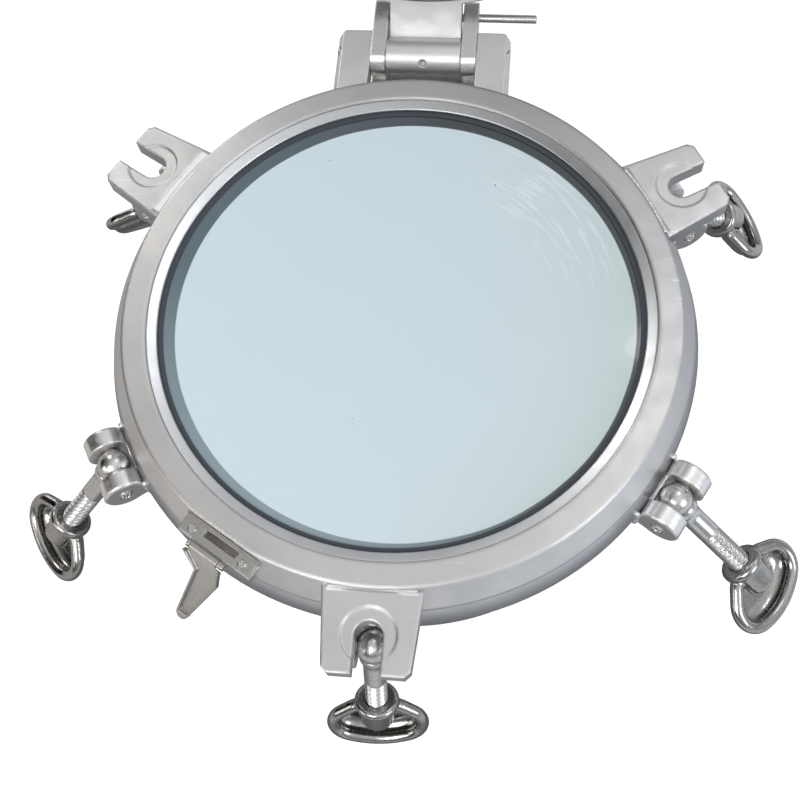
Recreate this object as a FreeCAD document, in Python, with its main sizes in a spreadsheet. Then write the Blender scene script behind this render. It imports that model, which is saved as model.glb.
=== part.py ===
"""Hinged side scuttle (porthole) with a glass holder, a deadlight and five swing-bolt dogs.

The part lies on its back: +Z is the way the glass faces, +Y points at the hinge.  The origin
is on the axis of the hull sleeve, at the sleeve's back end.  Lengths are millimetres.
"""
import FreeCAD, Part
import math
import os
from types import SimpleNamespace

import Sketcher

Vector = FreeCAD.Vector
Rotation = FreeCAD.Rotation
Placement = FreeCAD.Placement

NEAR = 0.001  # lengths closer than this count as equal

SIZES = (
    ("sleeve_step", 3.0, "hull sleeve, inside, outward from the clear light"),
    ("sleeve_wall", 12.0, "hull sleeve, wall"),
    ("sleeve_length", 130.0, "hull sleeve, from its back end to the frame ring"),
    ("neck_flare", 9.0, "weld neck between sleeve and frame ring"),
    ("edge_chamfer", 1.5, "broken edges of the turned rings"),
    ("rim_thickness", 23.4, "frame ring, depth"),
    ("rim_width", 33.0, "frame ring, width of its front"),
    ("rim_flare", 4.5, "frame ring, flare from its front to its back"),
    ("rim_flare_drop", 13.0, "frame ring, depth of the flared stretch"),
    ("seal_groove_inset", 16.0, "frame seal groove, from the sleeve's inside"),
    ("seal_groove_width", 10.0, "frame seal groove, width"),
    ("seal_groove_depth", 6.0, "frame seal groove, depth"),
    ("seal_side_gap", 0.1, "room beside a seal in its groove"),
    ("seal_round", 1.6, "rounded corners of a seal's lip"),
    ("soft_gap", 0.3, "room between a seal and the face that closes on it"),
    ("seat_gap", 0.6, "frame ring to glass holder"),
    ("side_gap", 0.3, "room beside the hinge ears"),
    ("weld_gap", 0.05, "room at a curved weld seat"),
    ("holder_depth", 22.0, "glass holder, face to underside"),
    ("face_width", 17.8, "glass holder, width of the flat face"),
    ("bevel_width", 10.8, "glass holder, width of the bevel"),
    ("bevel_drop", 20.0, "glass holder, depth of the bevel"),
    ("bore_step", 7.2, "glass holder, seat of the pane, outward from the clear light"),
    ("lip_step", 3.0, "glass holder, back lip, inward from the clear light"),
    ("spigot_step", 2.0, "glass holder, spigot, outward from the clear light"),
    ("spigot_depth", 5.0, "glass holder, spigot length"),
    ("face_chamfer", 0.8, "glass holder, broken inner edge of the face"),
    ("clear_radius", 175.0, "clear light, half of its diameter"),
    ("ring_recess", 1.5, "retaining ring below the holder's face"),
    ("ring_height", 5.5, "retaining ring, height at its outside"),
    ("ring_slope", 2.6, "retaining ring, fall of its face toward the glass"),
    ("glazing_thickness", 1.2, "glazing seal, thickness of its flanges"),
    ("glazing_step", 3.5, "glazing seal, edge seen inside the clear light"),
    ("pane_room", 2.2, "glass pane, edge inside its seat"),
    ("pane_thickness", 12.0, "glass pane"),
    ("pane_chamfer", 1.0, "glass pane, ground edge"),
    ("lug_drop", 3.0, "lugs of the holder below its face"),
    ("lug_corner", 4.0, "lugs of the holder, cut outer corner"),
    ("lug_weld_width", 60.0, "lugs of the holder, length of the weld on top"),
    ("lug_thickness", 14.0, "lugs of both covers"),
    ("lug_end", 25.4, "lugs, outer end beyond the bolts' pivots"),
    ("lug_end_half", 29.0, "lugs, half width at the end"),
    ("lug_root_half", 34.0, "lugs, half width at the root"),
    ("lug_root", 34.0, "lugs, root inside the bolts' pivots"),
    ("slot_width", 19.0, "open slot for a swing bolt"),
    ("spot_face_radius", 18.5, "spot face under a hand nut"),
    ("spot_face_depth", 1.0, "spot face under a hand nut"),
    ("dog_reach", 14.5, "swing-bolt pivots beyond the frame ring"),
    ("dog_drop", 19.5, "swing-bolt pivots below the holder's underside"),
    ("clevis_radius", 15.5, "clevis ears, rounded end"),
    ("clevis_gap", 22.0, "clevis, between its ears"),
    ("clevis_ear", 13.5, "clevis ears, thickness"),
    ("clevis_web", 4.0, "clevis web at the frame"),
    ("clevis_foot", 5.0, "rise of the clevis's lower edge toward the frame"),
    ("clevis_shoulder", 1.0, "clevis's shoulder at the frame above the pivot"),
    ("clevis_web_drop", 4.0, "top of the clevis's web below the pivot"),
    ("clevis_chamfer", 1.4, "broken outer edges of the clevis ears"),
    ("eye_radius", 12.4, "swing bolt, ball-shaped eye"),
    ("eye_width", 20.6, "swing bolt, eye across its flats"),
    ("eye_relief", 0.4, "room round the eye in the clevis web"),
    ("shank_radius", 8.0, "swing bolt, shank"),
    ("shank_chamfer", 1.5, "swing bolt, end"),
    ("holder_bolt_length", 76.0, "dogs of the glass holder, pivot to end"),
    ("deadlight_bolt_length", 94.0, "dogs of the deadlight, pivot to end"),
    ("pivot_pin_radius", 5.0, "swing-bolt pivot pins"),
    ("pin_running_gap", 0.05, "room round every pin"),
    ("pin_dome", 1.6, "riveted ends of the pivot pins"),
    ("collar_radius", 16.0, "hand nut, collar"),
    ("collar_length", 6.0, "hand nut, collar"),
    ("hub_radius", 13.5, "hand nut, hub at the collar"),
    ("hub_end_radius", 11.6, "hand nut, hub at its end"),
    ("hub_length", 28.0, "hand nut, collar face to hub end"),
    ("trough_length", 13.0, "hand nut, room for the bolt's end past the hub"),
    ("trough_wall", 2.4, "hand nut, wall of that room"),
    ("nut_running_gap", 0.06, "thread clearance"),
    ("wing_tube", 4.8, "hand nut, half thickness of the wing's rim"),
    ("wing_half_width", 37.0, "hand nut, half width of the wing"),
    ("wing_length", 56.0, "hand nut, collar face to the wing's end"),
    ("wing_root_half", 12.0, "hand nut, where the rim leaves the hub"),
    ("wing_root_place", 9.0, "hand nut, height of the rim's root"),
    ("wing_root_bend", 9.0, "hand nut, bend at the rim's root"),
    ("wing_corner_bend", 17.0, "hand nut, bend at the rim's corners"),
    ("wing_end_bend", 54.0, "hand nut, bow of the rim's end"),
    ("web_thickness", 3.4, "hand nut, web inside the rim"),
    ("hinge_reach", 14.5, "main hinge axis beyond the frame ring"),
    ("hinge_drop", 11.0, "main hinge axis below the holder's face"),
    ("hinge_pin_radius", 7.0, "main hinge pin"),
    ("hinge_pin_chamfer", 1.0, "main hinge pin, ends"),
    ("barrel_radius", 13.0, "deadlight barrel"),
    ("barrel_half", 29.4, "deadlight barrel, half length"),
    ("frame_ear_thickness", 11.8, "hinge ears of the frame"),
    ("frame_ear_radius", 15.0, "hinge ears of the frame, round the hinge pin"),
    ("leg_half", 7.5, "hinge ears of the frame, half width of the leg"),
    ("frame_ear_rise", 12.0, "flat top of the frame's ears above the hinge axis"),
    ("stay_distance", 39.0, "hinge axis to stay pin, outward"),
    ("stay_rise", 1.0, "stay pin above the hinge axis"),
    ("stay_ear_radius", 12.0, "hinge ears of the frame, round the stay pin"),
    ("stay_pin_radius", 3.25, "stay pin"),
    ("stay_pin_out", 46.0, "stay pin, length beyond the right ear"),
    ("stay_pin_chamfer", 0.8, "stay pin, ends"),
    ("holder_ear_width", 26.4, "hinge ears of the glass holder"),
    ("holder_ear_reach", 20.2, "hinge ears of the glass holder beyond the hinge axis"),
    ("holder_ear_round", 2.0, "hinge ears of the glass holder, front corner"),
    ("holder_ear_cut", 8.0, "hinge ears of the glass holder, cut-back lower corner"),
    ("holder_ear_corner", 7.0, "hinge ears of the glass holder, cut outer corner"),
    ("holder_ear_bevel", 3.4, "hinge ears of the glass holder, bevel of the outer edge"),
    ("hinge_web_reach", 12.0, "web between the frame's ears, beyond the hinge axis"),
    ("hinge_web_thickness", 8.0, "web between the frame's ears"),
    ("deadlight_lift", 1.0, "deadlight above the holder's face"),
    ("deadlight_inset", 7.0, "deadlight disc, inside the holder's face"),
    ("deadlight_flange", 12.0, "deadlight, flange thickness"),
    ("deadlight_dish", 12.0, "deadlight, rise of the dished middle"),
    ("deadlight_plate", 9.0, "deadlight, thickness of the dished middle"),
    ("dish_foot", 15.0, "deadlight, foot of the dish from the disc's edge"),
    ("dish_slope", 13.0, "deadlight, width of the dish's side"),
    ("deadlight_groove", 9.6, "deadlight seal groove, inner side from the disc's edge"),
    ("deadlight_groove_width", 6.0, "deadlight seal groove, width"),
    ("deadlight_groove_depth", 4.0, "deadlight seal groove, depth"),
    ("deadlight_edge", 5.0, "deadlight, bevel of its outer edge"),
    ("arm_half", 28.5, "deadlight arm, half width"),
    ("arm_flare_half", 50.0, "deadlight arm, half width at the disc"),
    ("arm_flare_place", 41.0, "deadlight arm, hinge axis to the start of its flare"),
    ("arm_flare_end", 62.0, "deadlight arm, hinge axis to the end of its flare"),
    ("arm_corner", 4.3, "deadlight arm, rounding of its corners"),
    ("open_angle", 130.0, "deadlight leaning on the stay pin, from closed"),
    ("grub_radius", 3.0, "grub screw that holds the hinge pin"),
    ("grub_angle", 190.0, "grub screw, round the barrel"),
    ("grub_floor", 2.2, "grub screw, metal under its socket"),
    ("grub_socket", 1.5, "grub screw, half width of its hexagon socket"),
    ("grub_corner", 30.0, "grub screw, half angle between the socket's corners"),
    ("latch_angle", 239.0, "latch, round the holder"),
    ("latch_half", 30.5, "latch plate, half length"),
    ("latch_inset", 0.5, "latch plate, inner edge inside the holder's bevel"),
    ("latch_plate_drop", 8.5, "latch ledge below the holder's face"),
    ("latch_plate_thickness", 2.5, "latch plate"),
    ("latch_ledge_depth", 9.5, "latch ledge, depth"),
    ("latch_ledge_reach", 2.2, "latch ledge, beyond the holder"),
    ("latch_reach", 5.7, "latch barrel, beyond the holder"),
    ("latch_barrel_radius", 2.8, "latch barrel"),
    ("latch_barrel_left", 18.0, "latch barrel, its left end from the middle"),
    ("latch_barrel_right", 13.5, "latch barrel, its right end from the middle"),
    ("latch_knuckle_left", 15.3, "latch lever knuckle, its left end from the middle"),
    ("latch_knuckle_right", 8.4, "latch lever knuckle, its right end from the middle"),
    ("latch_window_left", 12.5, "window in the latch plate, its left end"),
    ("latch_window_right", 15.0, "window in the latch plate, its right end"),
    ("latch_window_width", 5.0, "window in the latch plate, width"),
    ("latch_window_inset", 3.0, "window in the latch plate, from the plate's inner edge"),
    ("latch_pin_radius", 1.5, "latch pin"),
    ("lever_length", 54.0, "latch lever, axis to tip"),
    ("lever_shoulder", 6.5, "latch lever, length of its right shoulder"),
    ("lever_shoulder_right", 15.5, "latch lever, its right edge from the middle"),
    ("lever_neck", 14.5, "latch lever, where its taper begins"),
    ("lever_notch", 12.0, "latch lever, place of the notch in its left edge"),
    ("lever_notch_left", 4.5, "latch lever, notched left edge from the middle"),
    ("lever_tip_radius", 5.0, "latch lever, tip"),
    ("lever_tip_shift", 1.0, "latch lever, tip left of the middle"),
    ("lever_sheet", 1.6, "latch lever, sheet"),
    ("lever_flange", 4.0, "latch lever, height of its edges"),
    ("lever_hang", 45.0, "latch lever at rest, below level"),
    ("latch_screw_place", 21.5, "latch screws from the latch's middle"),
    ("latch_screw_inset", 3.3, "latch screws, inside the holder's edge"),
    ("latch_screw_shank", 2.0, "latch screws, shank radius"),
    ("latch_screw_head", 3.4, "latch screws, head radius"),
    ("latch_screw_top", 2.4, "latch screws, head radius at its top"),
    ("latch_screw_rise", 1.3, "latch screws, head above the plate"),
    ("latch_screw_length", 9.0, "latch screws, shank length under the head"),
    ("latch_screw_slot", 0.9, "latch screws, width of the cross recess"),
)

# place round the frame, droop of the bolt, hand nut's distance from the pivot, turn of its wing
DOGS = (
    ("right_upper", 30.0, 42.5, 62.0, 7.5, "holder"),
    ("left_upper", 150.0, 57.5, 48.0, 30.0, "holder"),
    ("bottom", 270.0, 64.0, 60.0, -5.0, "holder"),
    ("left_lower", 210.0, 46.0, 73.5, -7.0, "deadlight"),
    ("right_lower", 330.0, 35.0, 71.0, -3.0, "deadlight"),
)

# width of the weld on top of each lug of the holder
LUG_WELDS = (("bottom", 1.5), ("left_upper", 6.5), ("right_upper", 2.5))


class Term:
    """A length or angle: its number, and the sheet expression that gives the number."""

    def __init__(self, value, text):
        self.value = value
        self.text = text

    def __add__(self, other):
        other = term(other)
        return Term(self.value + other.value, "(%s + %s)" % (self.text, other.text))

    def __sub__(self, other):
        other = term(other)
        return Term(self.value - other.value, "(%s - %s)" % (self.text, other.text))

    def __mul__(self, other):
        other = term(other)
        return Term(self.value * other.value, "(%s * %s)" % (self.text, other.text))

    def __truediv__(self, other):
        other = term(other)
        return Term(self.value / other.value, "(%s / %s)" % (self.text, other.text))

    def __neg__(self):
        return Term(-self.value, "(0 - %s)" % self.text)

    __radd__ = __add__
    __rmul__ = __mul__

    def __rsub__(self, other):
        return term(other) - self


def term(item):
    """A plain number as a Term; a Term as it is."""
    return item if isinstance(item, Term) else Term(float(item), repr(float(item)))


def root(item):
    """Square root of a Term."""
    return Term(math.sqrt(item.value), "sqrt(%s)" % item.text)


def sine(item):
    """Sine of a Term in degrees."""
    return Term(math.sin(math.radians(item.value)), "sin(%s * 1 deg)" % item.text)


def cosine(item):
    """Cosine of a Term in degrees."""
    return Term(math.cos(math.radians(item.value)), "cos(%s * 1 deg)" % item.text)


document = FreeCAD.newDocument("Porthole")
pieces = {}


def fill_sheet():
    """Put every driving size into the sheet and give each one back as a Term."""
    rows = list(SIZES)
    for name, place, droop, run, turn, _ in DOGS:
        rows.append((name + "_place", place, name + " dog, angle round the frame"))
        rows.append((name + "_droop", droop, name + " dog, bolt below level"))
        rows.append((name + "_run", run, name + " dog, pivot to nut"))
        rows.append((name + "_turn", turn, name + " dog, turn of the nut's wing"))
    for name, width in LUG_WELDS:
        rows.append((name + "_weld", width, name + " lug, width of its weld"))
    sheet = document.addObject("Spreadsheet::Sheet", "Sizes")
    for row, (name, number, meaning) in enumerate(rows, start=1):
        sheet.set("A%d" % row, meaning)
        sheet.set("B%d" % row, str(number))
        sheet.setAlias("B%d" % row, name)
    document.recompute()
    return {name: Term(number, "Sizes." + name) for name, number, _ in rows}


sizes = fill_sheet()
s = SimpleNamespace(**sizes)

# radii that follow from the clear light
s.sleeve_bore_radius = s.clear_radius + s.sleeve_step
s.rim_top_radius = s.sleeve_bore_radius + s.rim_width
s.rim_flare_radius = s.rim_top_radius + s.rim_flare
s.seal_groove_radius = s.sleeve_bore_radius + s.seal_groove_inset
s.holder_lip_radius = s.clear_radius - s.lip_step
s.spigot_radius = s.clear_radius + s.spigot_step
s.holder_bore_radius = s.clear_radius + s.bore_step
s.holder_face_radius = s.holder_bore_radius + s.face_width
s.holder_edge_radius = s.holder_face_radius + s.bevel_width
s.glazing_inner_radius = s.clear_radius - s.glazing_step
s.pane_radius = s.holder_bore_radius - s.pane_room
s.dog_radius = s.rim_flare_radius + s.dog_reach
s.lug_reach = s.dog_radius + s.lug_end
s.lug_root_radius = s.dog_radius - s.lug_root
s.hinge_radius = s.rim_flare_radius + s.hinge_reach
s.deadlight_radius = s.holder_face_radius - s.deadlight_inset
s.dish_foot_radius = s.deadlight_radius - s.dish_foot
s.deadlight_groove_radius = s.deadlight_radius - s.deadlight_groove
s.latch_inner_radius = s.holder_face_radius - s.latch_inset
s.latch_ledge_radius = s.holder_edge_radius + s.latch_ledge_reach
s.latch_axis_radius = s.holder_edge_radius + s.latch_reach
s.latch_screw_radius = s.holder_edge_radius - s.latch_screw_inset

# heights that several pieces share
rim_front = s.sleeve_length + s.rim_thickness
holder_back = rim_front + s.seat_gap
face = holder_back + s.holder_depth
dog_height = holder_back - s.dog_drop
hinge_height = face - s.hinge_drop
ring_front = face - s.ring_recess
ring_back = ring_front - s.ring_height
pane_front = ring_back - s.glazing_thickness
pane_back = pane_front - s.pane_thickness
lip_front = pane_back - s.glazing_thickness
deadlight_back = face + s.deadlight_lift
stay_height = hinge_height + s.stay_rise
stay_place = s.hinge_radius + s.stay_distance
latch_height = face - s.latch_plate_drop + s.latch_barrel_radius
pin_hole = s.pivot_pin_radius + s.pin_running_gap


def set_size(thing, path, size):
    """Bind one property of an object to the sheet."""
    thing.setExpression(path, term(size).text)


def new_body(label):
    """A new piece, listed under its label."""
    body = document.addObject("PartDesign::Body", label)
    body.Label = label
    pieces[label] = body
    return body


def origin_of(body, role):
    """A body's own plane or axis."""
    return next(item for item in body.Origin.OriginFeatures if item.Role == role)


def new_sketch(body, role, lift=0, turn=0, about=Vector(0, 0, 1), place=(0, 0)):
    """A sketch on one of the body's planes, lifted along its normal and turned in place."""
    sketch = body.newObject("Sketcher::SketchObject", "Sketch")
    sketch.AttachmentSupport = (origin_of(body, role), [""])
    sketch.MapMode = "FlatFace"
    base = Vector(term(place[0]).value, term(place[1]).value, term(lift).value)
    sketch.AttachmentOffset = Placement(base, Rotation(about, term(turn).value))
    bound = zip(("Base.x", "Base.y", "Base.z", "Rotation.Angle"), (*place, lift, turn))
    for path, size in bound:
        if isinstance(size, Term):
            set_size(sketch, "AttachmentOffset." + path, size)
    return sketch


def pin_point(sketch, edge, end, x, y):
    """Fix one end (1 start, 2 end, 3 centre) of an edge at x, y."""
    for kind, axis, size in (("DistanceX", -2, x), ("DistanceY", -1, y)):
        if not isinstance(size, Term) and size == 0:
            sketch.addConstraint(Sketcher.Constraint("PointOnObject", edge, end, axis))
            continue
        size = term(size)
        number = sketch.addConstraint(Sketcher.Constraint(kind, -1, 1, edge, end, size.value))
        name = "%s_%d_%d" % (kind, edge, end)
        sketch.renameConstraint(number, name)
        set_size(sketch, "Constraints." + name, size)


def draw_polygon(sketch, points):
    """A closed outline of straight edges through the given corners."""
    first = len(sketch.Geometry)
    corners = [Vector(term(x).value, term(y).value, 0) for x, y in points]
    for start, end in zip(corners, corners[1:] + corners[:1]):
        sketch.addGeometry(Part.LineSegment(start, end))
    count = len(points)
    for index, (x, y) in enumerate(points):
        edge = first + index
        following = first + (index + 1) % count
        sketch.addConstraint(Sketcher.Constraint("Coincident", edge, 2, following, 1))
        pin_point(sketch, edge, 1, x, y)
    return sketch


def draw_circle(sketch, x, y, radius):
    """A full circle."""
    centre = Vector(term(x).value, term(y).value, 0)
    edge = sketch.addGeometry(Part.Circle(centre, Vector(0, 0, 1), term(radius).value))
    pin_point(sketch, edge, 3, x, y)
    number = sketch.addConstraint(Sketcher.Constraint("Radius", edge, term(radius).value))
    sketch.renameConstraint(number, "Radius_%d" % edge)
    set_size(sketch, "Constraints.Radius_%d" % edge, radius)
    return sketch


def pad(body, sketch, length, both=False):
    """Grow a sketch along its normal, or to both sides alike."""
    feature = body.newObject("PartDesign::Pad", "Pad")
    feature.Profile = sketch
    feature.SideType = "Symmetric" if both else "One side"
    set_size(feature, "Length", length)
    return feature


def pocket(body, sketch, length, both=False, reverse=False):
    """Cut a sketch against its normal, or to both sides alike."""
    feature = body.newObject("PartDesign::Pocket", "Pocket")
    feature.Profile = sketch
    feature.SideType = "Symmetric" if both else "One side"
    feature.Reversed = reverse
    set_size(feature, "Length", length)
    return feature


def turned(body, sketch, role="Z_Axis", cut=False):
    """Turn a sketch once round an axis, adding to the body or cutting it."""
    kind = "Groove" if cut else "Revolution"
    feature = body.newObject("PartDesign::" + kind, kind)
    feature.Profile = sketch
    feature.ReferenceAxis = (origin_of(body, role), [""])
    feature.Angle = 360
    return feature


def new_ring(label, points):
    """A piece turned about the main axis from corners (radius, height)."""
    body = new_body(label)
    turned(body, draw_polygon(new_sketch(body, "XZ_Plane"), points))
    return body


def turn_of(angle, x=0, y=0, height=0):
    """Placement turned about the main axis by an angle, with an offset in the turned frame."""
    rotation = Rotation(Vector(0, 0, 1), term(angle).value)
    offset = Vector(term(x).value, term(y).value, term(height).value)
    return Placement(rotation.multVec(offset), rotation)


def open_deadlight():
    """Placement that swings a closed deadlight piece open round the main hinge."""
    hinge = Vector(0, s.hinge_radius.value, hinge_height.value)
    swing = Rotation(Vector(1, 0, 0), -s.open_angle.value)
    return Placement(Vector(), swing, hinge)


def seal_outline(inner, outer, back, front):
    """A seal's section between two radii, with the corners of its lip cut back."""
    small = s.seal_round / 2
    return [
        (inner, back), (outer, back), (outer, front - s.seal_round),
        (outer - small, front - small / 2), (outer - s.seal_round, front),
        (inner + s.seal_round, front), (inner + small, front - small / 2),
        (inner, front - s.seal_round),
    ]


def make_hull_sleeve():
    """Tube that is welded into the ship's side, with a weld neck at the frame ring."""
    inner = s.sleeve_bore_radius
    outer = inner + s.sleeve_wall
    new_ring("hull_sleeve", [
        (inner, s.edge_chamfer), (inner + s.edge_chamfer, 0), (outer, 0),
        (outer, s.sleeve_length - s.neck_flare), (outer + s.neck_flare, s.sleeve_length),
        (inner, s.sleeve_length),
    ])


def make_main_frame():
    """Frame ring with the groove for the glass holder's seal."""
    inner = s.sleeve_bore_radius
    back = s.sleeve_length
    chamfer = s.edge_chamfer
    groove_back = rim_front - s.seal_groove_depth
    groove_outer = s.seal_groove_radius + s.seal_groove_width
    new_ring("main_frame", [
        (inner, back), (s.rim_flare_radius - chamfer, back),
        (s.rim_flare_radius, back + chamfer), (s.rim_flare_radius, rim_front - s.rim_flare_drop),
        (s.rim_top_radius, rim_front - chamfer), (s.rim_top_radius - chamfer, rim_front),
        (groove_outer, rim_front), (groove_outer, groove_back),
        (s.seal_groove_radius, groove_back), (s.seal_groove_radius, rim_front),
        (inner, rim_front),
    ])


def make_frame_seal():
    """Rubber seal in the frame ring's groove."""
    inner = s.seal_groove_radius + s.seal_side_gap
    outer = s.seal_groove_radius + s.seal_groove_width - s.seal_side_gap
    back = rim_front - s.seal_groove_depth
    new_ring("frame_seal", seal_outline(inner, outer, back, holder_back - s.soft_gap))


def lug_outline(root_place, corner):
    """Plan of one lug that points along the sketch's x axis, with its outer corners cut."""
    reach = s.lug_reach
    half = s.lug_end_half
    return [
        (root_place, -s.lug_root_half), (reach - corner, -half), (reach, corner - half),
        (reach, half - corner), (reach - corner, half), (root_place, s.lug_root_half),
    ]


def add_slotted_lug(body, back, turn, root_place, corner):
    """Add one slotted lug to a cover."""
    front = back + s.lug_thickness
    half_slot = s.slot_width / 2
    past = s.lug_reach + s.slot_width
    plan = draw_polygon(new_sketch(body, "XY_Plane", back, turn),
                        lug_outline(root_place, corner))
    pad(body, plan, s.lug_thickness)
    mouth = draw_polygon(new_sketch(body, "XY_Plane", front, turn), [
        (s.dog_radius, -half_slot), (past, -half_slot), (past, half_slot),
        (s.dog_radius, half_slot),
    ])
    pocket(body, mouth, s.lug_thickness)
    bottom = draw_circle(new_sketch(body, "XY_Plane", front, turn), s.dog_radius, 0, half_slot)
    pocket(body, bottom, s.lug_thickness)
    seat = draw_circle(new_sketch(body, "XY_Plane", front, turn),
                       s.dog_radius, 0, s.spot_face_radius)
    pocket(body, seat, s.spot_face_depth)


def make_glass_holder():
    """Hinged ring that carries the glass, with the latch's ledge."""
    body = new_body("glass_holder")
    edge = s.holder_edge_radius
    bore = s.holder_bore_radius
    outline = [
        (s.holder_lip_radius, holder_back - s.spigot_depth),
        (s.spigot_radius, holder_back - s.spigot_depth), (s.spigot_radius, holder_back),
        (edge, holder_back), (edge, face - s.bevel_drop), (s.holder_face_radius, face),
        (bore + s.face_chamfer, face), (bore, face - s.face_chamfer),
        (bore, lip_front), (s.holder_lip_radius, lip_front),
    ]
    turned(body, draw_polygon(new_sketch(body, "XZ_Plane"), outline))
    add_latch_ledge(body)


def cut_holder_seat(body):
    """Trim a welded piece to the bevel and the side of the glass holder."""
    edge = s.holder_edge_radius + s.weld_gap
    top = s.holder_face_radius + s.weld_gap
    seat = draw_polygon(new_sketch(body, "XZ_Plane"), [
        (0, holder_back - s.bevel_drop), (edge, holder_back - s.bevel_drop),
        (edge, face - s.bevel_drop), (top, face), (top, face + s.bevel_drop),
        (0, face + s.bevel_drop),
    ])
    turned(body, seat, cut=True)


def make_holder_lug(dog, place, weld):
    """One slotted lug of the glass holder, welded to its bevel with a sloping bead."""
    body = new_body("lug_" + dog)
    front = face - s.lug_drop
    add_slotted_lug(body, front - s.lug_thickness, 0, s.lug_root_radius, s.lug_corner)
    bead = draw_polygon(new_sketch(body, "XZ_Plane"), [
        (s.holder_bore_radius, front - s.spot_face_depth),
        (s.holder_face_radius + weld, front - s.spot_face_depth),
        (s.holder_face_radius + weld, front),
        (s.holder_face_radius + weld / 2, front + s.lug_drop * 3 / 4),
        (s.holder_bore_radius, front + s.lug_drop * 3 / 4),
    ])
    pad(body, bead, s.lug_weld_width, both=True)
    cut_holder_seat(body)
    body.Placement = turn_of(place)


def add_latch_ledge(body):
    """Ledge on the holder's bevel, with the two tapped holes of the latch screws."""
    front = face - s.latch_plate_drop
    half = s.latch_half + s.side_gap
    start = s.holder_edge_radius - s.face_width
    ledge = draw_polygon(
        new_sketch(body, "XY_Plane", front - s.latch_ledge_depth, s.latch_angle), [
            (start, -half), (s.latch_ledge_radius, -half),
            (s.latch_ledge_radius, half), (start, half),
        ])
    pad(body, ledge, s.latch_ledge_depth)
    notch = draw_polygon(new_sketch(body, "XY_Plane", front, s.latch_angle), [
        (s.latch_inner_radius - s.side_gap, -half), (s.holder_edge_radius, -half),
        (s.holder_edge_radius, half), (s.latch_inner_radius - s.side_gap, half),
    ])
    pocket(body, notch, s.latch_plate_drop, reverse=True)
    for side in (-1, 1):
        hole = draw_circle(new_sketch(body, "XY_Plane", front, s.latch_angle),
                           s.latch_screw_radius, side * s.latch_screw_place,
                           s.latch_screw_shank)
        pocket(body, hole, s.latch_ledge_depth)


def make_glazing():
    """Glass pane, the channel seal round it and the ring that holds both in."""
    outer = s.holder_bore_radius - s.seal_side_gap
    thick = s.glazing_thickness
    pane_side = s.pane_radius + s.seal_side_gap
    new_ring("glazing_seal", [
        (s.glazing_inner_radius, ring_back), (outer, ring_back), (outer, lip_front),
        (s.holder_lip_radius, lip_front), (s.holder_lip_radius, lip_front + thick),
        (pane_side, lip_front + thick), (pane_side, ring_back - thick),
        (s.glazing_inner_radius, ring_back - thick),
    ])
    cut = s.pane_chamfer
    new_ring("glass_pane", [
        (0, pane_back), (s.pane_radius - cut, pane_back), (s.pane_radius, pane_back + cut),
        (s.pane_radius, pane_front - cut), (s.pane_radius - cut, pane_front), (0, pane_front),
    ])
    inner_front = ring_front - s.ring_slope
    new_ring("retaining_ring", [
        (s.clear_radius, ring_back), (outer, ring_back), (outer, ring_front),
        (s.clear_radius + s.face_chamfer, inner_front),
        (s.clear_radius, inner_front - s.face_chamfer),
    ])


def make_holder_ear(label, side):
    """One hinge ear of the glass holder, seated on the holder's bevel."""
    body = new_body(label)
    front = face - s.lug_drop
    end = s.hinge_radius + s.holder_ear_reach
    inner = s.barrel_half + s.frame_ear_thickness + 2 * s.side_gap
    start = inner if side > 0 else -(inner + s.holder_ear_width)
    outline = draw_polygon(new_sketch(body, "YZ_Plane", start), [
        (s.clear_radius, front), (end - s.holder_ear_round, front),
        (end, front - s.holder_ear_round), (end, holder_back + s.holder_ear_cut),
        (end - s.holder_ear_cut, holder_back), (s.clear_radius, holder_back),
    ])
    pad(body, outline, s.holder_ear_width)
    outer = side * (inner + s.holder_ear_width)
    cut_outer_corner(body, outer, side, end)
    cut_holder_seat(body)
    hole = draw_circle(new_sketch(body, "YZ_Plane", start), s.hinge_radius, hinge_height,
                       s.hinge_pin_radius + s.pin_running_gap)
    pocket(body, hole, s.holder_ear_width, reverse=True)


def cut_outer_corner(body, outer, side, end):
    """Cut back a holder ear's outer corner in plan, and bevel the front of its outer side."""
    past = outer + side * s.holder_ear_round
    corner = draw_polygon(new_sketch(body, "XY_Plane", face), [
        (outer - side * s.holder_ear_corner, end), (past, end), (past, end - s.holder_ear_corner),
        (outer, end - s.holder_ear_corner),
    ])
    pocket(body, corner, s.holder_depth)
    bevel = draw_polygon(new_sketch(body, "XZ_Plane"), [
        (outer - side * s.holder_ear_bevel, face - s.lug_drop), (past, face - s.lug_drop),
        (past, face - s.lug_drop - s.holder_ear_bevel),
        (outer, face - s.lug_drop - s.holder_ear_bevel),
    ])
    pocket(body, bevel, end * 2, both=True)


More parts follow.
